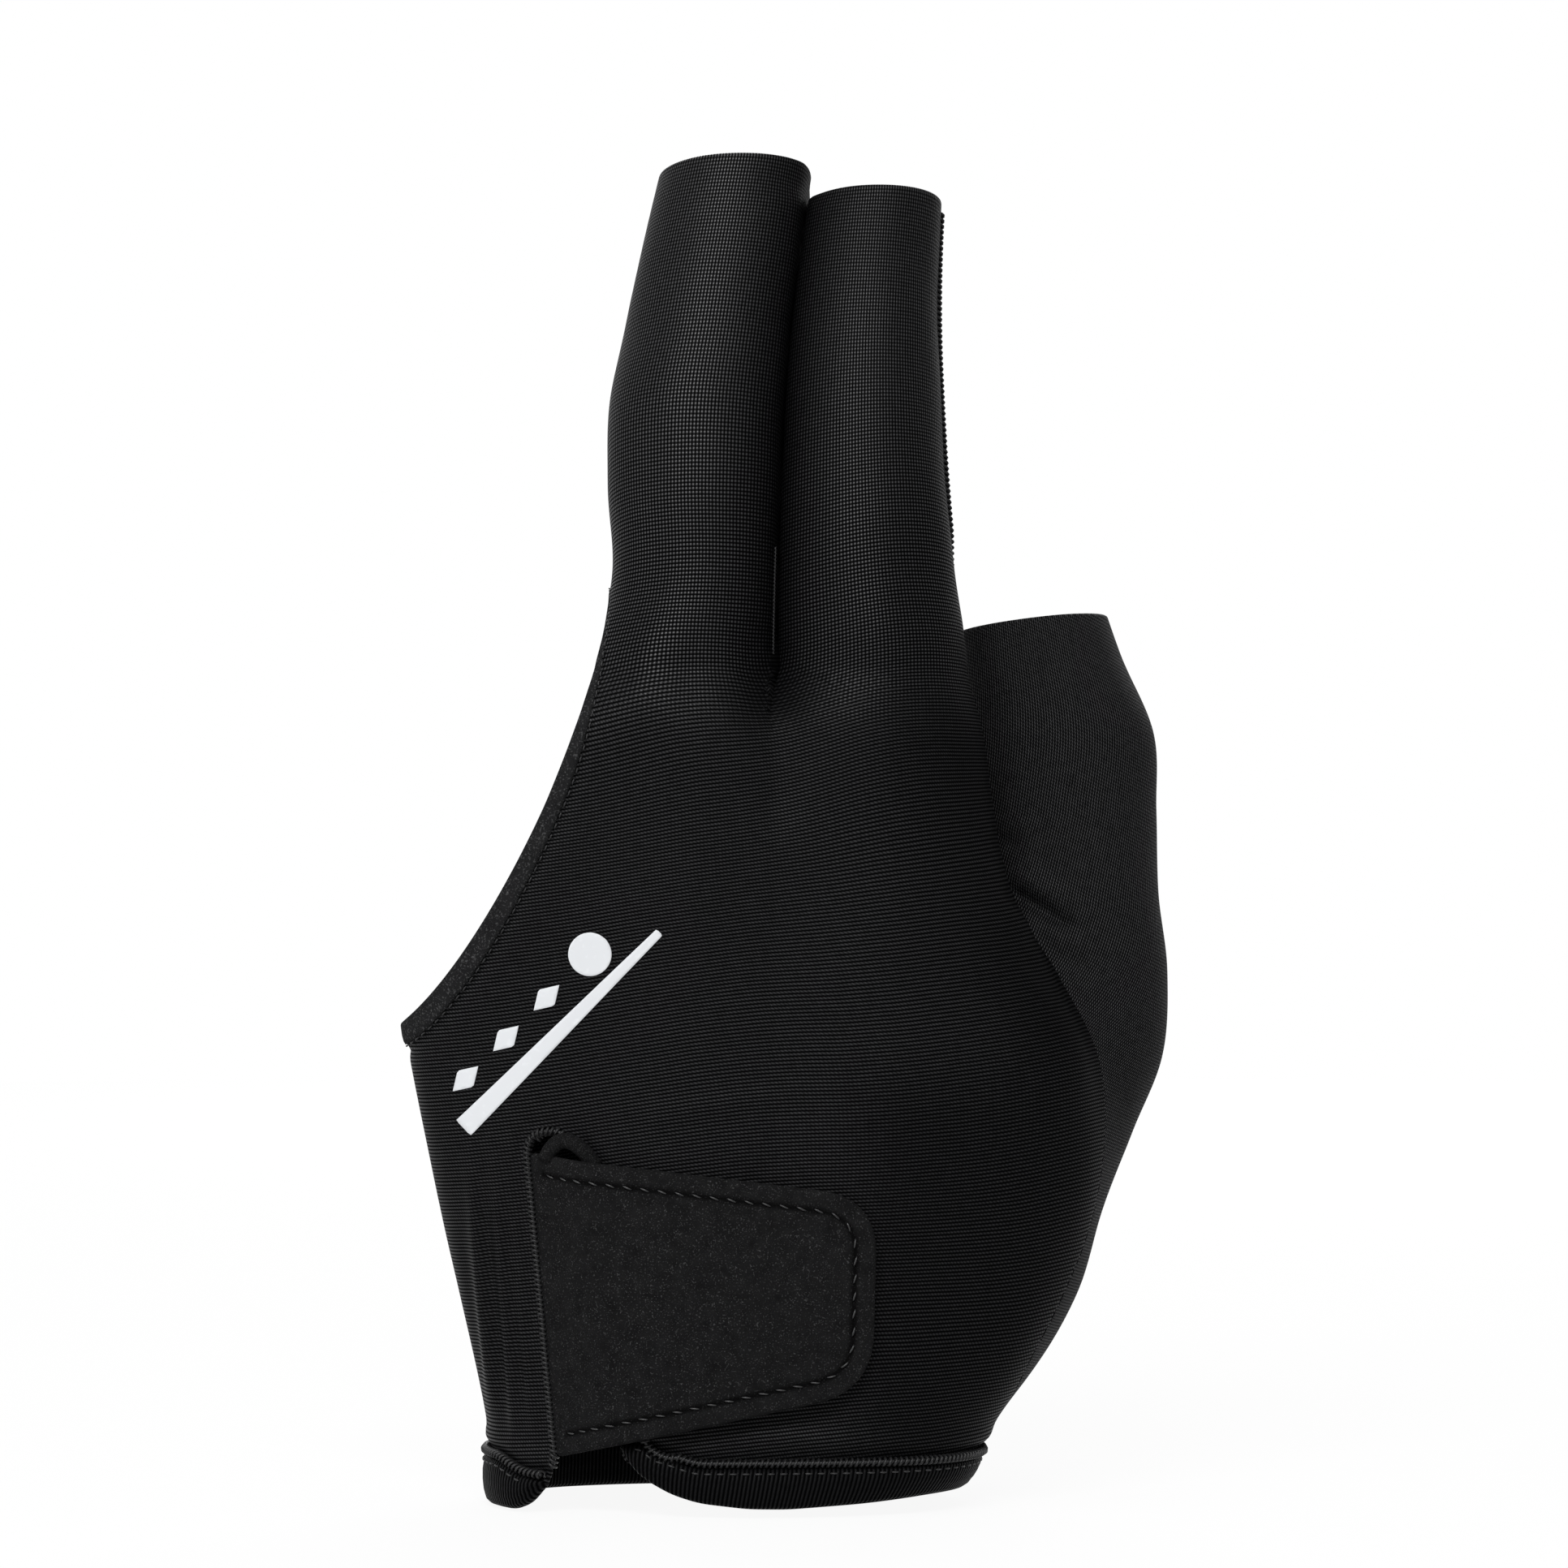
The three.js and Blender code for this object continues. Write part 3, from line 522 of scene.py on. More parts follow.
# how much steeper the ribs rise to the right, about x and z, over a width and a height
RIB_SLOPES = [
    (0.13, -22, 112, 9, 17), (-0.10, -7, 118, 7, 12), (0.24, 6, 112, 9, 17), (0.13, 12, 146, 14, 20),
    (0.07, -25, 72, 15, 42), (0.07, 12, 126, 8, 14),
    (-0.09, 4, 62, 9, 22), (0.09, 38, 52, 8, 24), (-0.09, 22, 30, 14, 20), (-0.10, -41, 20, 6, 9),
    (-0.12, 25, 112, 5, 10),
]


def weave_hand(p):
    """Along and across the ribs of the palm, along those of the sleeves, and how far up the sleeves."""
    x, y, z = p.T
    line, _ = valley(y, z)
    index, middle = (around(rows, SLEEVE_SQUARE, p) for rows in (index_rows, middle_rows))
    lean = smooth((z - 105) / 45) * math.tan(SLEEVE_TILT)
    v = z + lean * (y - split_y(z)) - 0.11 * x * (1 - smooth((z - 95) / 35))
    for slope, at_x, at_z, wide, tall in RIB_SLOPES:
        v -= slope * wide * np.tanh((x - at_x) / wide) * bell((z - at_z) / tall)
    u = around(palm_rows, PALM_SQUARE, p) * PALM_WALES * WALE
    return columns(u, v, np.where(x > line, index, middle) * SLEEVE_WALES * WALE, (z - 110) / 12)


def weave_thumb(p):
    z = p[:, 2]
    drop = np.interp(z, [0, 60, 72, 79, 86, 100, 130], [-66, 0, 12, 17.2, 20.7, 24.6, 29.7])
    return columns(z + 0.5 * p[:, 0], around(thumb_rows, SLEEVE_SQUARE, p) * THUMB_RIBS * RIB - drop)


# ---- Objects


def weave_layers(mesh, uv, periods):
    """The weave coordinates of a mesh. A face over the line where a tube closes gets them in one piece."""
    index, start = np.empty(len(mesh.loops), int), np.empty(len(mesh.polygons), int)
    mesh.loops.foreach_get("vertex_index", index)
    mesh.polygons.foreach_get("loop_start", start)
    face = np.repeat(np.arange(len(start)), np.diff(np.append(start, len(index))))
    uv = uv[index]
    for i, period in enumerate(periods):
        if period:
            lowest, highest = (f.reduceat(uv[:, i], start)[face] for f in (np.minimum, np.maximum))
            split = highest - lowest > period / 2
            uv[:, i] += period * (split & (uv[:, i] < (lowest + highest) / 2))
    for i, name in enumerate(("weave", "sleeve_weave")[:uv.shape[1] // 2]):
        layer = mesh.uv_layers.new(name=name)
        layer.data.foreach_set("uv", uv[:, 2 * i:2 * i + 2].astype(np.float32).ravel())


def mesh_object(name, solid, material, uv=None, periods=(), body="glove", added=False, flat=False):
    """One piece. Unless it is added, it replaces the solid of its own name."""
    points, faces = solid
    mesh = bpy.data.meshes.new(name)
    mesh.from_pydata(((points + HAND_TO_PART) * MM).tolist(), [], faces)
    mesh.polygons.foreach_set("use_smooth", [not flat] * len(mesh.polygons))
    if uv is not None:
        weave_layers(mesh, uv, periods)
    mesh.update()
    obj = bpy.data.objects.new(name, mesh)
    bpy.context.scene.collection.objects.link(obj)
    mesh.materials.append(material)
    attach(obj, body)
    if not added:
        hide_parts(name)
    return obj


def thicken(points, faces, normal, thick, bulge=1.0, rings=5):
    """A sheet with its back face and a rounded rim: points, faces, and each point's own source."""
    count = len(points)
    edges = border(faces)
    out = np.zeros_like(points)
    for a, b in edges:
        side = np.cross(points[b] - points[a], normal[a])
        out[a] += side
        out[b] += side
    rim = np.array(sorted({i for edge in edges for i in edge}))
    where = {v: k for k, v in enumerate(rim.tolist())}
    down, away = normal[rim] * thick / 2, unit(out[rim]) * thick / 2
    layers = [points, points - normal * thick]
    for angle in np.arange(1, rings + 1) * math.pi / (rings + 1):
        layers.append(points[rim] - down * (1 - math.cos(angle)) + away * math.sin(angle) * bulge)

    def chain(v):
        return [v, *(2 * count + k * len(rim) + where[v] for k in range(rings)), v + count]

    solid = faces + [tuple(i + count for i in reversed(face)) for face in faces]
    for a, b in edges:
        left, right = chain(a), chain(b)
        solid += [(left[k], left[k + 1], right[k + 1], right[k]) for k in range(rings + 1)]
    return np.vstack(layers), solid, np.concatenate([np.tile(np.arange(count), 2), np.tile(rim, rings)])


def shade_points(obj, shade):
    """How much light the cloth gets at each point, 0 to 1, for its material."""
    obj.data.attributes.new("shade", "FLOAT", "POINT").data.foreach_set("value", shade.astype(np.float32))


# heights, and how far out the hollow beside the thumb lies there, for the painted shade along it
THUMB_HOLLOW = (64.8, 71.9, 79, 93.2, 107.4, 121.6, 135.8), (44.2, 41.9, 38.9, 35.4, 30, 26.5, 25.4)


def painted_hand_shade(p):
    """Painted shade: the cloth is darker between the two sleeves, along the thumb's seam and at the wrist
    below it.
    """
    x, y, z = p.T
    off = x - valley(y, z)[0]
    fingers = 0.72 * bell(off / np.where(off < 0, 5.2, 7.3)) * smooth((z - 108) / 9)
    thumb = bell((np.interp(z, *THUMB_HOLLOW) - x) / 13)
    thumb = 0.64 * thumb * smooth((z - 54) / 16) * (1 - 0.4 * smooth((z - 108) / 14))
    wrist = 0.38 * smooth((x - 4) / 14) * smooth((70 - z) / 16)
    return (1 - fingers) * (1 - thumb) * (1 - wrist)


def panel(name, sheet, cuts, weave, periods, material, shade=None):
    """A part of a sheet with folds, thickness and weave coordinates."""
    points, faces = sheet
    for value in cuts:
        points, faces = clip(points, faces, value)
    n = normals(points)
    outer, faces, source = thicken(points + n * relief(points, n)[:, None], faces, n, FABRIC)
    obj = mesh_object(name, (outer, faces), material, weave(points)[source], periods)
    if shade:
        shade_points(obj, shade(points)[source])


# ---- Bands and threads


def resample(path, spacing, closed=False):
    if closed:
        path = np.vstack([path, path[:1]])
    run = run_length(path)
    count = max(int(round(run[-1] / spacing)), 2)
    at = np.linspace(0, run[-1], count + 1)[: count if closed else count + 1]
    return columns(*[np.interp(at, run, path[:, i]) for i in range(path.shape[1])])


def relaxed(ring, times):
    """A closed line, smoothed."""
    for _ in range(times):
        ring = 0.5 * ring + 0.25 * (np.roll(ring, 1, axis=0) + np.roll(ring, -1, axis=0))
    return ring


def along(path, closed=False):
    if closed:
        t = np.roll(path, -1, axis=0) - np.roll(path, 1, axis=0)
    else:
        t = np.gradient(path, axis=0)
    return unit(t)


def skin(lines, closed=False):
    """A mesh over lines that run side by side round a tube. Unless it is closed, it has flat ends."""
    rings = np.stack(lines, axis=1)
    count, size = rings.shape[:2]
    faces = []
    for i in range(count if closed else count - 1):
        a, b = i * size, (i + 1) % count * size
        faces += [(a + j, a + (j + 1) % size, b + (j + 1) % size, b + j) for j in range(size)]
    if not closed:
        faces += [tuple(range(size))[::-1], tuple(range((count - 1) * size, count * size))]
    return facing_out(rings.reshape(-1, 3), faces)


def facing_out(points, faces):
    """A mesh with its faces turned round if the solid that they close has a negative volume."""
    corners = np.array([(f[0], f[k], f[k + 1]) for f in faces for k in range(1, len(f) - 1)])
    a, b, c = (points[i] for i in corners.T)
    return points, faces if (a * np.cross(b, c)).sum() > 0 else [face[::-1] for face in faces]


def tube_along(path, normal, radius, sides, closed=False):
    t = along(path, closed)
    n = unit(normal - t * (normal * t).sum(1, keepdims=True))
    b = np.cross(t, n)
    angles = np.arange(sides) * 2 * math.pi / sides
    radius = np.broadcast_to(radius, (len(path),))[:, None]
    return skin([path + radius * (b * math.cos(a) + n * math.sin(a)) for a in angles], closed)


def join(parts):
    points, faces, start = [], [], 0
    for p, f in parts:
        points.append(p)
        faces += [tuple(i + start for i in face) for face in f]
        start += len(p)
    return np.vstack(points), faces


def overlock(path, normal, half_width, height, pitch, radius):
    """A thread wound round the edge that path follows, over a soft core."""
    per_turn = 10
    fine = resample(columns(path, normal), pitch / per_turn)
    path, normal = fine[:, :3], unit(fine[:, 3:])
    side = np.cross(along(path), normal)
    turns = max(round(len(path) / per_turn), 1)
    angle = (np.arange(len(path)) / len(path) * turns * 2 * math.pi)[:, None]

    def winding(angle, every=1):
        return side[::every] * np.cos(angle) * half_width + normal[::every] * np.sin(angle) * height

    core = [path[::5] + 0.6 * winding(a, 5) for a in np.arange(per_turn) * 2 * math.pi / per_turn]
    return join([tube_along(path + winding(angle), side, radius, 5), skin(core)])


def stitches(path, normal, pitch, length, radius, closed=False, turn=0.0):
    """Separate stitches along a path, each slanted by turn and with its ends sunk in the cloth."""
    spacing = 0.1
    fine = resample(columns(path, normal), spacing, closed)
    path, normal = fine[:, :3], fine[:, 3:]
    per, most = int(round(pitch / spacing)), int(round(length / spacing))
    parts = []
    for start in range(0, len(path) - most, per):
        points_at = slice(start, start + most + 1, max(most // 6, 1))
        piece, n = path[points_at], normal[points_at]
        arch = np.sin(np.linspace(0, math.pi, len(piece)))[:, None] ** 0.5
        r = radius * (0.45 + 0.55 * arch[:, 0])
        side = np.cross(along(piece), n) * (np.linspace(-1, 1, len(piece)) * turn * length / 2)[:, None]
        parts.append(tube_along(piece + side + n * (arch * radius * 1.6 - radius), n, r, 8))
    return join(parts)


# ---- Materials


class Nodes:
    """The node tree of a material or a world, with short ways to fill it."""

    def __init__(self, owner):
        owner.use_nodes = True
        self.owner, self.tree = owner, owner.node_tree

    def fill(self, node, inputs):
        for where, value in inputs.items():
            if isinstance(value, bpy.types.NodeSocket):
                self.tree.links.new(value, node.inputs[where])
            else:
                node.inputs[where].default_value = value

    def add(self, kind, out=0, inputs=None, **settings):
        node = self.tree.nodes.new("ShaderNode" + kind)
        for key, value in settings.items():
            setattr(node, key, value)
        self.fill(node, inputs or {})
        return node.outputs[out]

    def math(self, operation, a, b=0.0, c=0.0):
        return self.add("Math", operation=operation, inputs={0: a, 1: b, 2: c})

    def minus(self, a, b):
        return self.math("SUBTRACT", a, b)

    def times(self, a, b):
        return self.math("MULTIPLY", a, b)

    def scaled(self, a, factor, shift):
        return self.math("MULTIPLY_ADD", a, factor, shift)

    def within(self, a):
        """a, kept between 0 and 1."""
        return self.math("MINIMUM", self.math("MAXIMUM", a, 0.0), 1.0)

    def wave(self, a):
        """1 at the whole numbers and 0 halfway between them."""
        return self.scaled(self.math("COSINE", self.times(a, 2 * math.pi)), 0.5, 0.5)

    def noise(self, scale, detail=3.0):
        place = self.add("TexCoord", out=3)
        return self.add("TexNoise", inputs={"Scale": scale, "Detail": detail, "Vector": place})

    def mix(self, share, a, b):
        ends = [(*end, 1) if isinstance(end, tuple) else end for end in (a, b)]
        return self.add("Mix", out=2, data_type="RGBA", inputs={0: share, 6: ends[0], 7: ends[1]})

    def weave(self, layer):
        """Along the ribs and across them, in the mesh's own coordinates."""
        split = self.add("SeparateXYZ", inputs={0: self.add("UVMap", uv_map=layer)})
        return split, split.node.outputs[1]

    def shade(self):
        return self.add("Attribute", out=2, attribute_name="shade")


class Cloth(Nodes):
    """A material that ends in the Principled node."""

    def __init__(self, name, colour, rough, gloss=0.5):
        super().__init__(bpy.data.materials.new(name))
        self.end = self.tree.nodes["Principled BSDF"]
        self.fill(self.end, {"Base Color": (*colour, 1), "Roughness": rough, "Specular IOR Level": gloss})

    def bump(self, height, distance):
        inputs = {"Strength": 1.0, "Distance": distance, "Height": height}
        self.fill(self.end, {"Normal": self.add("Bump", inputs=inputs)})


def knit(name, dark, light, rough, gloss, rib=RIB, dash=WALE, depth=0.00004, dotted=0.85, sleeves=False):
    """Ribbed tricot: fine ribs, crossed at a slant by the wales, and on the sleeves a square mesh."""
    m = Cloth(name, dark, rough)
    along_ribs, across_ribs = m.weave("weave")
    waver = m.times(m.minus(m.noise(90.0, 2.0), 0.5), 0.5)
    row = m.math("ADD", m.math("DIVIDE", across_ribs, rib), waver)
    ribs = m.wave(row)

    def wales(at, slant):
        return m.wave(m.scaled(row, slant, m.math("DIVIDE", at, dash)))

    dashes, broken = wales(along_ribs, 1.0), dotted
    if sleeves:
        round_sleeve, up_sleeve = m.weave("sleeve_weave")
        share = m.within(up_sleeve)
        dashes = m.scaled(m.minus(wales(round_sleeve, 0.0), dashes), share, dashes)
        broken = m.scaled(share, 0.35, dotted)
    height = m.times(ribs, m.minus(1.0, m.times(m.minus(1.0, dashes), broken)))
    if sleeves:
        mesh = m.times(dashes, m.scaled(ribs, 0.7, 0.3))
        height = m.scaled(m.minus(mesh, height), m.within(m.scaled(up_sleeve, 0.4, -0.9)), height)
    patch = m.noise(1100.0)
    m.bump(m.scaled(patch, 0.15, height), depth)
    crest = m.math("POWER", height, 1.4)
    if sleeves:
        # painted shade: the 'shade' attribute darkens the crests, which are also scaled down below the
        # sleeves
        crest = m.times(crest, m.times(m.shade(), m.scaled(share, 0.4, 0.6)))
    m.fill(m.end, {
        "Base Color": m.mix(m.times(crest, m.scaled(patch, 2.2, 0.2)), dark, light),
        "Roughness": m.scaled(crest, -0.3, rough + 0.22),
        "Specular IOR Level": m.scaled(crest, gloss, 0.004),
    })
    return m.owner


def matt(name, dark, light, rough, grain, depth, speck=0.6, gloss=0.5, shaded=False):
    """Napped or plain cloth and thread: a dark ground with light specks."""
    m = Cloth(name, dark, rough, gloss)
    fine, wide = m.noise(grain), m.noise(grain * 0.12)
    sparkle = m.within(m.times(m.minus(fine, speck), 5.0))
    colour = m.mix(m.scaled(wide, 0.15, m.times(sparkle, 0.85)), dark, light)
    if shaded:
        # painted shade: where the 'shade' attribute is low, the colour goes to near black
        colour = m.mix(m.shade(), cool(0.0008), colour)
    m.fill(m.end, {"Base Color": colour})
    m.bump(m.scaled(wide, 0.3, fine), depth)
    return m.owner


def cool(level, blue=0.0):
    """A grey that may be a little bluer than neutral."""
    return level, level, level + blue


BLACK = cool(0.0007, 0.0001)
tricot = knit("tricot", BLACK, cool(0.024, 0.0015), 0.38, 0.34, depth=0.000022, dotted=0.55, sleeves=True)
thumb_tricot = knit("thumb_tricot", cool(0.0012, 0.0002), cool(0.042, 0.0013), 0.5, 0.15)
cuff_cloth = knit(
    "cuff", BLACK, cool(0.0058, 0.0005), 0.45, 0.05, rib=0.6, dash=0.9, depth=0.00012, dotted=0.15
)
binding_cloth = matt(
    "binding", cool(0.007, 0.0004), cool(0.072, 0.001), 0.9, 3400.0, 0.00014, speck=0.54, gloss=0.03
)
microfibre = matt(
    "microfibre", cool(0.003, 0.0002), cool(0.07, 0.001), 0.95, 4400.0, 0.0001, 0.58, 0.03, shaded=True
)
plain_microfibre = matt(
    "plain_microfibre", cool(0.0042, 0.0002), cool(0.046, 0.0005), 0.95, 5600.0, 0.00016, 0.54, 0.03
)
fastener = matt("fastener", cool(0.006, 0.0002), cool(0.06, 0.001), 0.9, 3200.0, 0.00025, 0.5, 0.1)
thread = matt("thread", cool(0.005, 0.0005), cool(0.025, 0.001), 0.42, 3500.0, 0.00003, gloss=0.12)
beaded = matt("beaded", cool(0.008, 0.0005), cool(0.055, 0.001), 0.4, 3500.0, 0.00002, gloss=0.25)
bright_thread = matt(
    "bright_thread", cool(0.008, 0.0005), cool(0.06, 0.001), 0.3, 3500.0, 0.00002, gloss=0.4
)
elastic = matt("elastic", cool(0.006), cool(0.015), 0.8, 1800.0, 0.00005)
printed = matt("print", (0.64, 0.655, 0.675), (0.71, 0.725, 0.745), 0.45, 900.0, 0.00001, gloss=0.3)

# ---- Panels

whole = form_mesh()
PANEL_GAP = 0.12


def hand_side(x, y, z):
    return thumb_part(x, y, z) - hand_part(x, y, z) - PANEL_GAP


def thumb_side(x, y, z):
    return hand_part(x, y, z) - thumb_part(x, y, z) - PANEL_GAP


def back_side(x, y, z):
    return seam_y(x, z) - y - PANEL_GAP / 2


def palm_side(x, y, z):
    return y - seam_y(x, z) - PANEL_GAP / 2


def off_opening(x, y, z):
    return opening(x, y, z) - np.minimum(1.2, 0.35 * binding_width(z))


def off_slit(x, y, z):
    return outline_distance(slit, x, z) - 0.7


def above_cuff(x, y, z):
    return z - roll_z(x, y) + 1.6


hand_mesh = clip(*clip(*whole, hand_side), below_ends)
hand_periods = (PALM_WALES * WALE, 0, SLEEVE_WALES * WALE, 0)
# Both hand panels carry painted shade in their 'shade' attribute.
for name, cuts in (
    ("back_panel", [back_side, above_cuff, off_opening, off_slit]),
    ("palm_panel", [palm_side, above_cuff, off_opening]),
):
    panel(name, hand_mesh, cuts, weave_hand, hand_periods, tricot, painted_hand_shade)
panel(
    "thumb_panel", whole, [thumb_side, thumb_end, above_cuff], weave_thumb, (0, THUMB_RIBS * RIB),
    thumb_tricot,
)

# ---- The bound opening

EDGE_STEP = 0.5


def band(name, profile, material, run, spacing, closed):
    """A folded tape. Its ribs run along the one that is closed and across the one with two ends."""
    along_tape = np.repeat(run, len(profile))
    across_tape = np.tile(np.arange(len(profile)) * spacing, len(run))
    uv = columns(along_tape, across_tape) if closed else columns(across_tape, along_tape)
    mesh_object(name, skin(profile, closed), material, uv)


cut_points, cut_faces = clip(*hand_mesh, opening)
ring = min(loops(cut_faces), key=lambda ring: np.abs(opening(*cut_points[ring].T)).mean())
edge = relaxed(resample(cut_points[ring], EDGE_STEP, True), 14)
edge = resample(onto(form, edge), EDGE_STEP, True)
edge_normal = normals(edge)
inward = np.cross(edge_normal, along(edge, True))
if opening(*(edge + inward).T).mean() < 0:
    edge, edge_normal = edge[::-1], edge_normal[::-1]
    inward = np.cross(edge_normal, along(edge, True))
width = binding_width(edge[:, 2])[:, None]


def at_inset(share, height):
    """Points over the fabric, a share of the binding's width in from the edge."""
    p = onto(form, edge + inward * width * share)
    return p + normals(p) * height


low_part = smooth((128 - edge[:, 2:]) / 25)
proud = 0.02 + 0.4 * low_part
over = [(1.0, -0.8), (0.97, 0.5), (0.8, 0.9), (0.5, 1.1), (0.2, 1.05)]
profile = [at_inset(share, proud * height) for share, height in over]
for angle in np.radians([90, 60, 30, 0, -30, -60, -90]):
    r = FABRIC / 2 + proud
    out = inward * (0.25 * (1 - low_part) - 0.7 * low_part * r * math.cos(angle))
    profile.append(edge - edge_normal * (FABRIC / 2 - r * math.sin(angle)) + out)
under = [(0.4, 1.0), (0.85, 0.9), (0.95, -0.2)]
profile += [at_inset(share, -FABRIC - proud * height) for share, height in under]
run = np.arange(len(edge)) * EDGE_STEP
band("opening_binding", profile, binding_cloth, run, 0.5, closed=True)
line = onto(form, relaxed(onto(form, edge + inward * (width + 0.25)), 12))
row = stitches(line, normals(line), 1.7, 0.9, 0.13, True)
mesh_object("opening_stitching", row, beaded)

# ---- The cuff

BAND_Z, BAND_STEP = 3.0, 0.6


def palm_point(psi, z, out):
    cx, hx, cy, hy = section(palm_rows, z)
    across, through = (signed_power(turn, 2 / PALM_SQUARE) for turn in (np.cos(psi), np.sin(psi)))
    return columns(cx + across * (hx + out), cy + through * (hy + out), z + 0 * psi)


def psi_at(x, z):
    cx, hx, _, _ = section(palm_rows, z)
    return -math.acos(signed_power((x - cx) / hx, PALM_SQUARE / 2))


psi = np.linspace(psi_at(-23.6, 9.0), psi_at(-34.4, 5.0) + 2 * math.pi, 3000)
whole_run = run_length(palm_point(psi, BAND_Z, 0))
run = np.arange(0, whole_run[-1], BAND_STEP)
psi = np.interp(run, whole_run, psi)
rim_x, rim_y, _ = palm_point(psi, BAND_Z, 0).T
to_back = np.where(rim_x > 0, smooth((14 - rim_y) / 12), smooth((-4 - rim_y) / 6))
# x and height of the band's lower edge, right and left of the slit
RIGHT_EDGE = (
    (-24.2, -22.6, -20.7, -16.5, -12.2, -5, 1, 11.6, 20.7, 30),
    (9.4, 7.3, 5.5, 3.2, 1.9, 1.1, 1, 1.6, 2.3, 2.6),
)
LEFT_EDGE = (-45, -40.5, -38.5, -36.6, -34.8, -33.2), (0.9, 0, 0.1, 1.2, 3.4, 6.2)
right = rim_x > -28
high = roll_z(rim_x, rim_y) - 0.5 + 1.6 * smooth((-18.5 - rim_x) / 3) * right * to_back
low = np.where(right, np.interp(rim_x, *RIGHT_EDGE), np.interp(rim_x, *LEFT_EDGE))
low = np.minimum(low * to_back, high - 1.3)
kernel = np.hanning(11) / np.hanning(11).sum()
low = np.convolve(np.pad(low, 5, mode="edge"), kernel, mode="valid")
tall = high - low
turn = np.minimum(1.15, tall * 0.45)
count = np.arange(len(psi))
wave = 0.12 * np.sin(count * 0.23) + 0.08 * np.sin(count * 0.071 + 1)
full = np.sqrt(1 - (1 - np.clip(np.minimum(count, count[::-1]) * BAND_STEP / 3.0, 0.02, 1)) ** 2)
at_roll = palm_point(psi, roll_z(rim_x, rim_y), 0)
bulge = np.linalg.norm(onto(form, at_roll) - at_roll, axis=1)


def band_point(z, out):
    """A point of the cuff, drawn in where the band rounds off at its two ends."""
    middle = (low + high) / 2
    out = out + bulge * smooth((z + 1) / 10)
    return palm_point(psi, middle + (z - middle) * full, -0.5 + (out + 0.5) * full)


profile = []
for share, out in [(1.0, -0.25), (0.97, 0.35), (0.85, 0.75), (0.6, 0.98), (0.35, 0.98), (0.12, 0.85)]:
    profile.append(band_point(low + turn + (tall - turn) * share, out + wave * (1 - share)))
for angle in np.radians([0, -30, -60, -90, -120, -150, -180]):
    out = -0.5 + 1.2 * math.cos(angle) + wave * 0.5
    profile.append(band_point(low + turn * (1 + math.sin(angle)), out))
for share, out in [(0.3, -1.75), (0.7, -1.7), (0.98, -1.5), (1.0, -0.8)]:
    profile.append(band_point(low + turn + (tall - turn) * share, out))
band("cuff_binding", profile, cuff_cloth, run, 0.9, closed=False)
elastic_top = low + turn + np.minimum(2.4, (tall - turn) * 0.7)
heights = [low + turn * 0.9] * 2 + [elastic_top] * 2
profile = [band_point(z, out) for z, out in zip(heights, (-0.1, -0.9, -0.9, -0.1))]
mesh_object("cuff_elastic", skin([line[4:-4] for line in profile]), elastic, flat=True)
curl = bezier([(-16.4, 8.4), (-18.4, 8.7), (-19.6, 9.8), (-20.4, 11.6)], 12)[::-1]
seam = palm_point(psi, roll_z(rim_x, rim_y) + 0.05, 0.35 + bulge)
seam = seam[(seam[:, 0] > -15.6) | (seam[:, 0] < -28) | (seam[:, 1] > 0)]
seam = np.vstack([on_back(*curl.T) - [0, 0.4, 0], seam])
mesh_object("cuff_roll", overlock(seam, normals(seam), 0.5, 0.65, 0.8, 0.22), beaded)
line = band_point(high - 0.9 - 0.5 * (tall < 3), 0.78 + wave * 0.3)
row = stitches(line[4:-4], normals(line)[4:-4], 1.75, 1.1, 0.16)
mesh_object("cuff_stitching", row, beaded)

# ---- The slit's overlocked edge and the seams of the sleeves

edging = slit_outline(0.15)
edging = resample(edging[edging[:, 1] > -1], 0.5)
edging = edging[edging[:, 1] > np.where(edging[:, 0] < slit_middle(edging[:, 1]), 6.4, 12.5)]
curl = resample(bezier([(-35.6, 53.4), (-34.6, 55.6), (-31.2, 54.6), (-28.2, 51.2)], 20), 0.4)
wound = []
for path, sunk, half_width, height in ((edging, 0.25, 0.5, 0.64), (curl, 0.7, 0.45, 0.55)):
    path = on_back(*path.T)
    n = normals(path)
    wound.append(overlock(path - n * sunk, n, half_width, height, 0.7, 0.22))
mesh_object("slit_edging", join(wound), beaded)

z = np.arange(95.0, 189.0, 0.5)
cx, hx, cy, hy = section(index_rows, z)
y = seam_y(cx + hx, z)
seam = between(columns(cx, y, z), columns(cx + hx + 12, y, z), hand_part)
n = normals(seam, hand_part)
sunk = (0.25 + 0.55 * smooth((142 - z) / 8))[:, None]
mesh_object("index_side_seam", overlock(seam - n * sunk, n, 0.6, 0.62, 0.85, 0.26), thread)

z = np.arange(117.0, 139.0, 0.5)
_, _, cy, hy = section(index_rows, z)
line, _ = valley(cy - 0.6 * hy, z)
deep = columns(line, cy, z)


def sleeves(x, y, z):
    return soft_min(index_part(x, y, z), middle_part(x, y, z), 1.0)


seam = between(deep, deep - [0, 30, 0], sleeves)
n = np.tile([0.0, -1.0, 0.0], (len(seam), 1))
row = overlock(seam + [0, 0.15, 0], n, 0.13, 0.16, 0.55, 0.1)
mesh_object("valley_seam", row, beaded, added=True)

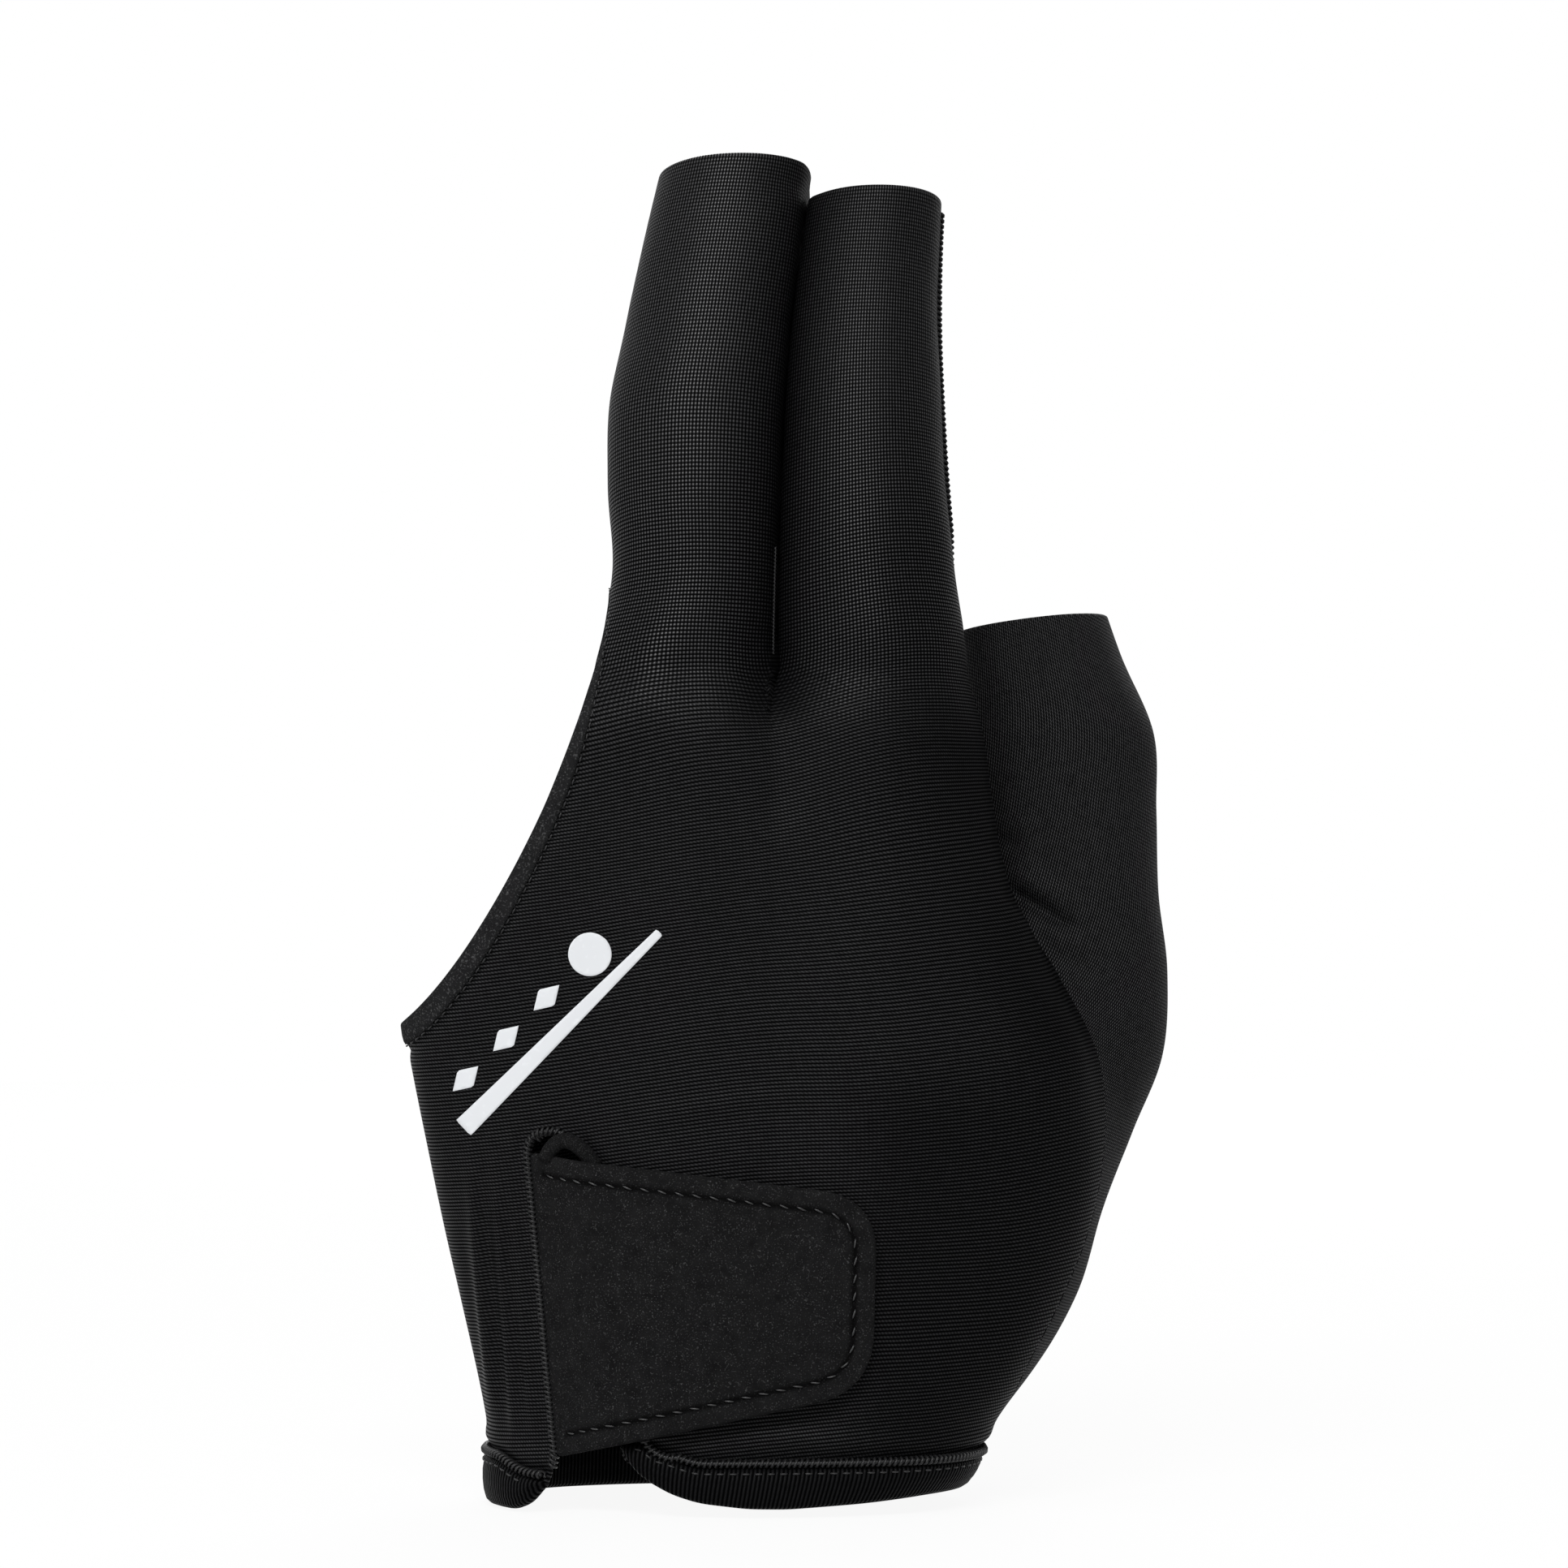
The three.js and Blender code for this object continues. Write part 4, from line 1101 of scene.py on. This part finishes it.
# The web seam runs down the wall of one sleeve, round the fork and up the wall of the other.
z = np.arange(119.0, 184.0, 0.5)
cx, hx, cy, _ = section(index_rows, z)
down = columns(cx - hx - HALF_FORK, cy, z)[::-1]
aside, drop = np.array([SLEEVE_GAP / 2 + FABRIC + 0.3, 0, 0]), np.array([0, 0, 4.5])
foot = down[-1]
round_end = bezier([foot + aside, foot + aside - drop, foot - aside - drop, foot - aside], 20)
turned = np.linspace(0, math.pi, len(round_end))
wall = np.tile([1.0, 0.0, 0.0], (len(down), 1))
seam = np.vstack([down + aside, round_end[1:-1], down[::-1] - aside])
n = np.vstack([wall, columns(np.cos(turned), 0 * turned, -np.sin(turned))[1:-1], -wall])
mesh_object("web_seam", overlock(seam, n, 0.6, 0.3, 0.85, 0.2), thread)

# ---- The strap

ROOT_LOW, ROOT_TALL, TAB_LENGTH, TAB_END, TAB_SLOPE = 8.0, 43.6, 49.5, 27.6, math.radians(7)
TAB_THICK, TAB_LIFT, TAB_ROUND = 1.25, 3.4, 8.5


def root_x(z):
    return slit_middle(z) - SLIT_HALF + 0.3


root_top = ROOT_LOW + ROOT_TALL
end_top = np.array([root_x(root_top) + TAB_LENGTH, root_top - TAB_LENGTH * math.tan(TAB_SLOPE)])
end_low = end_top + (-1, -TAB_END)
root_low, root_high = np.array([root_x(ROOT_LOW), ROOT_LOW]), np.array([root_x(root_top), root_top])


def rounded(inset, root_inset):
    """The strap's outline moved in, with its free corners round, from the foot of its sewn edge."""
    corners = np.array([root_low, end_low, end_top, root_high])
    sides = unit(np.roll(corners, -1, axis=0) - corners)
    places = corners + columns(-sides[:, 1], sides[:, 0]) * [[inset], [inset], [inset], [root_inset]]
    last, before = np.roll(places, 1, axis=0), np.roll(sides, 1, axis=0)
    moved = last + before * (np.cross(places - last, sides) / np.cross(before, sides))[:, None]
    r = max(TAB_ROUND - inset, 1)
    turns = [bezier([moved[i] - before[i] * r, moved[i], moved[i] + sides[i] * r], 12) for i in (1, 2)]
    return np.vstack([[moved[0]], *turns, [moved[3]]])


def tab_height(x, z):
    return TAB_LIFT * smooth((x - root_x(z)) / (2 * SLIT_HALF - 0.3))


def over_palm(x, z):
    """Points and normals of the smooth palm under x and z, on the back."""
    p = on_back(x, z, palm_part)
    return p, normals(p, palm_part)


def flat_patch(outline, step):
    """A grid in x and z, cut to an outline."""
    lo, hi = outline.min(0) - step, outline.max(0) + step
    xs, zs = (np.arange(a, b, step) for a, b in zip(lo, hi))
    grid = np.array([(x, 0.0, z) for x in xs for z in zs])
    tall = len(zs)
    first = [i * tall + j for i in range(len(xs) - 1) for j in range(tall - 1)]
    faces = [(k, k + tall, k + tall + 1, k + 1) for k in first]
    return clip(grid, faces, lambda x, y, z: -outline_distance(outline, x, z), lambda x, y, z: y)


stitch_line = rounded(3.0, 2.0)
flat, faces = flat_patch(rounded(TAB_THICK / 2, 0.2), 0.33)
x, z = flat[:, 0], flat[:, 2]
base, n = over_palm(x, z)
inset = -outline_distance(rounded(0, 0), x, z)
row = np.abs(outline_distance(np.vstack([stitch_line, [(-60, 60), (-60, 0)]]), x, z))
puff = 0.22 * (1 - bell(inset / 2.2)) + 0.06 * np.sin(0.33 * x + 0.2 * z) * np.sin(0.24 * z)
groove = bell(row / 0.45) * (x > root_x(z) + 1.5)
sheet = base + n * (tab_height(x, z) + puff - 0.4 * groove)[:, None]
points, faces, source = thicken(sheet, faces, n, TAB_THICK, 0.9)
tab = mesh_object(
    "strap_tab", (points, faces), microfibre, flat[source][:, [0, 2]], body="strap"
)
# Painted shade darkens the stitch groove of the strap through its 'shade' attribute.
shade_points(tab, 1 - 0.85 * groove[source])
path = resample(stitch_line, 0.4)
base, n = over_palm(*path.T)
row = stitches(base + n * (tab_height(*path.T) + 0.02)[:, None], n, 2.55, 1.35, 0.135, turn=0.3)
mesh_object("strap_stitching", row, bright_thread, body="strap")
fold = resample(bezier([(-34.2, 50.6), (-32.6, 54.6), (-30.0, 54.2), (-27.0, 49.6)], 20), 0.5)
base, n = over_palm(*fold.T)
roll = tube_along(base + n * 0.35, n, 1.15, 12)
mesh_object("strap_root_fold", roll, plain_microfibre, body="strap", added=True)


def right_of(outline, left):
    dense = resample(np.vstack([outline, outline[:1]]), 0.25)
    return dense[dense[:, 0] >= left]


def pad(name, outline, top, thick, body, step=0.7, rough=0.0):
    flat, faces = flat_patch(outline, step)
    x, z = flat[:, 0], flat[:, 2]
    base, n = over_palm(x, z)
    height = top + rough * np.sin(x * 7.1 + 3 * np.sin(z * 2.3)) * np.sin(z * 6.7)
    points, faces, source = thicken(base + n * height[:, None], faces, n, thick, 0.4, 3)
    mesh_object(name, (points, faces), fastener, flat[source][:, [0, 2]], body=body)


inner = rounded(4.2, 4.2)
loop_outline = right_of(inner, root_x(ROOT_LOW) + 2 * SLIT_HALF + 1.2)
hook_outline = right_of(inner, end_top[0] - 20)
pad("strap_loop_pad", loop_outline, 0.95, 0.55, "glove", 0.45, 0.08)
pad("strap_hook_pad", hook_outline, 2.1, 0.45, "strap")

HOOK_APART, HOOK_ROWS, HOOK_MARGIN = 1.1, 1.15, 0.9
HOOK_CURL = [(0, 1.7), (0.02, 1.52), (0.1, 1.38), (0.24, 1.36), (0.33, 1.45)]  # aside, over the palm
low_corner, high_corner = hook_outline.min(0) + HOOK_MARGIN, hook_outline.max(0) - 0.6
places = np.array([
    (x, z)
    for i, x in enumerate(np.arange(low_corner[0], high_corner[0], HOOK_ROWS))
    for z in np.arange(low_corner[1] + HOOK_APART / 2 * (i % 2), high_corner[1], HOOK_APART)
])
places = places[outline_distance(hook_outline, *places.T) < -0.6]
hooks = []
for p, m in zip(*over_palm(*places.T)):
    side = np.cross(m, [0, 0, 1.0])
    hook = np.array([p + m * height + side * aside for aside, height in HOOK_CURL])
    hooks.append(tube_along(hook, np.tile([0, 0, 1.0], (len(hook), 1)), 0.07, 5))
mesh_object("strap_hooks", join(hooks), fastener, body="strap", added=True)

# ---- The printed emblem: a plain cue, a ball and three diamonds

SLANT = math.radians(45)
EMBLEM = np.array([-34.3, 71.3])
CUE, BUTT, TIP, BALL = 40.0, 1.5, 0.6, 3.1
DIAMOND_LONG, DIAMOND_TALL = 5.2, 3.2


def emblem_piece(name, shape):
    x, z = np.array(shape, float).T
    c, s = math.cos(SLANT), math.sin(SLANT)
    flat, faces = flat_patch(EMBLEM + columns(x * c - z * s, x * s + z * c), 0.45)
    p = on_back(flat[:, 0], flat[:, 2])
    n = normals(p)
    p = p + n * (relief(p, n) + 0.16)[:, None]
    points, faces, source = thicken(p, faces, n, 0.14, 0.3, 2)
    mesh_object(name, (points, faces), printed, flat[source][:, [0, 2]])


cue = np.array([(-1, -BUTT), (1, -TIP), (1, TIP), (-1, BUTT)]) * (CUE / 2, 1) - (0, DIAMOND_TALL)
emblem_piece("emblem_cue", cue)
ball_at = CUE / 2 - 3 * BALL
circle = np.linspace(0, 2 * math.pi, 48, endpoint=False)
ball = columns(ball_at + BALL * np.cos(circle), DIAMOND_TALL / 2 + BALL * np.sin(circle))
emblem_piece("emblem_ball", ball)
for count in (1, 2, 3):
    at = ball_at - BALL - 1.6 * count * DIAMOND_LONG + DIAMOND_LONG / 2
    long, tall = DIAMOND_LONG / 2, DIAMOND_TALL / 2
    emblem_piece(f"emblem_diamond_{count}", [(at - long, tall), (at, 0), (at + long, tall), (at, 2 * tall)])

# ---- Floor and backdrop, in metres from here on

WHITE = (1, 1, 1, 1)


def seen_rays(nodes):
    """1 for the rays that show the backdrop: camera, glossy and transmission rays."""
    paths = nodes.add("LightPath").node.outputs
    value = paths["Is Camera Ray"]
    for ray in ("Is Glossy Ray", "Is Transmission Ray"):
        value = nodes.math("MAXIMUM", value, paths[ray])
    return value


def floor_material():
    """A white floor. What is seen of it is part light of its own, so that it is as white as the wall."""
    m = Cloth("floor", (0.92, 0.92, 0.92), 0.9, 0.0)
    share = m.times(seen_rays(m), 0.92)
    glow = m.add("Emission", inputs={"Color": WHITE, "Strength": 1.0})
    mix = m.add("MixShader", inputs={0: share, 1: m.end.outputs[0], 2: glow})
    m.fill(m.tree.nodes["Material Output"], {"Surface": mix})
    return m.owner


bpy.ops.mesh.primitive_circle_add(vertices=96, radius=1.3, fill_type="NGON", location=(0, 0, -0.0003))
floor = bpy.context.object
floor.name = "floor"
floor.data.materials.append(floor_material())

scene = bpy.context.scene
scene.world = bpy.data.worlds.new("world")
backdrop = Nodes(scene.world)
backdrop.tree.nodes.clear()
dim, white = (
    backdrop.add("Background", inputs={"Color": WHITE, "Strength": strength}) for strength in (0.08, 1.0)
)
choice = backdrop.add("MixShader", inputs={0: seen_rays(backdrop), 1: dim, 2: white})
output = backdrop.tree.nodes.new("ShaderNodeOutputWorld")
backdrop.fill(output, {"Surface": choice})

# ---- Light and camera

# name, place, what it is turned to, width and height, watts
LAMPS = (
    ("key", (-0.2, -1.25, 1.12), (0, 0, 0.12), (1.1, 0.25), 20.5),
    ("left", (-1.3, -0.8, 0.4), (0, 0, 0.08), (1.0, 1.0), 7.4),
    ("right", (1.5, -0.3, 0.6), (0, 0, 0.1), (0.8, 1.2), 0.8),
    ("top", (0, 0.2, 1.7), (0, 0, 0.1), (1.2, 1.2), 7.4),
    ("behind", (0.3, 1.4, 0.9), (0, 0, 0.1), (1.3, 0.5), 14.8),
)
for name, place, target, size, power in LAMPS:
    lamp = bpy.data.lights.new(name, "AREA")
    lamp.shape = "RECTANGLE"
    lamp.size, lamp.size_y = size
    lamp.energy = power
    obj = bpy.data.objects.new(name, lamp)
    obj.location = place
    obj.rotation_euler = (Vector(target) - Vector(place)).to_track_quat("-Z", "Y").to_euler()
    scene.collection.objects.link(obj)

camera_data = bpy.data.cameras.new("camera")
camera_data.sensor_width, camera_data.lens = 36, 142.1
camera_data.clip_start, camera_data.clip_end = 0.05, 50
camera = bpy.data.objects.new("camera", camera_data)
camera.location = (-0.000615, -0.90275, 0.1043)
camera.rotation_euler = (math.pi / 2, 0, 0)
scene.collection.objects.link(camera)
scene.camera = camera
scene.view_settings.view_transform = "Standard"
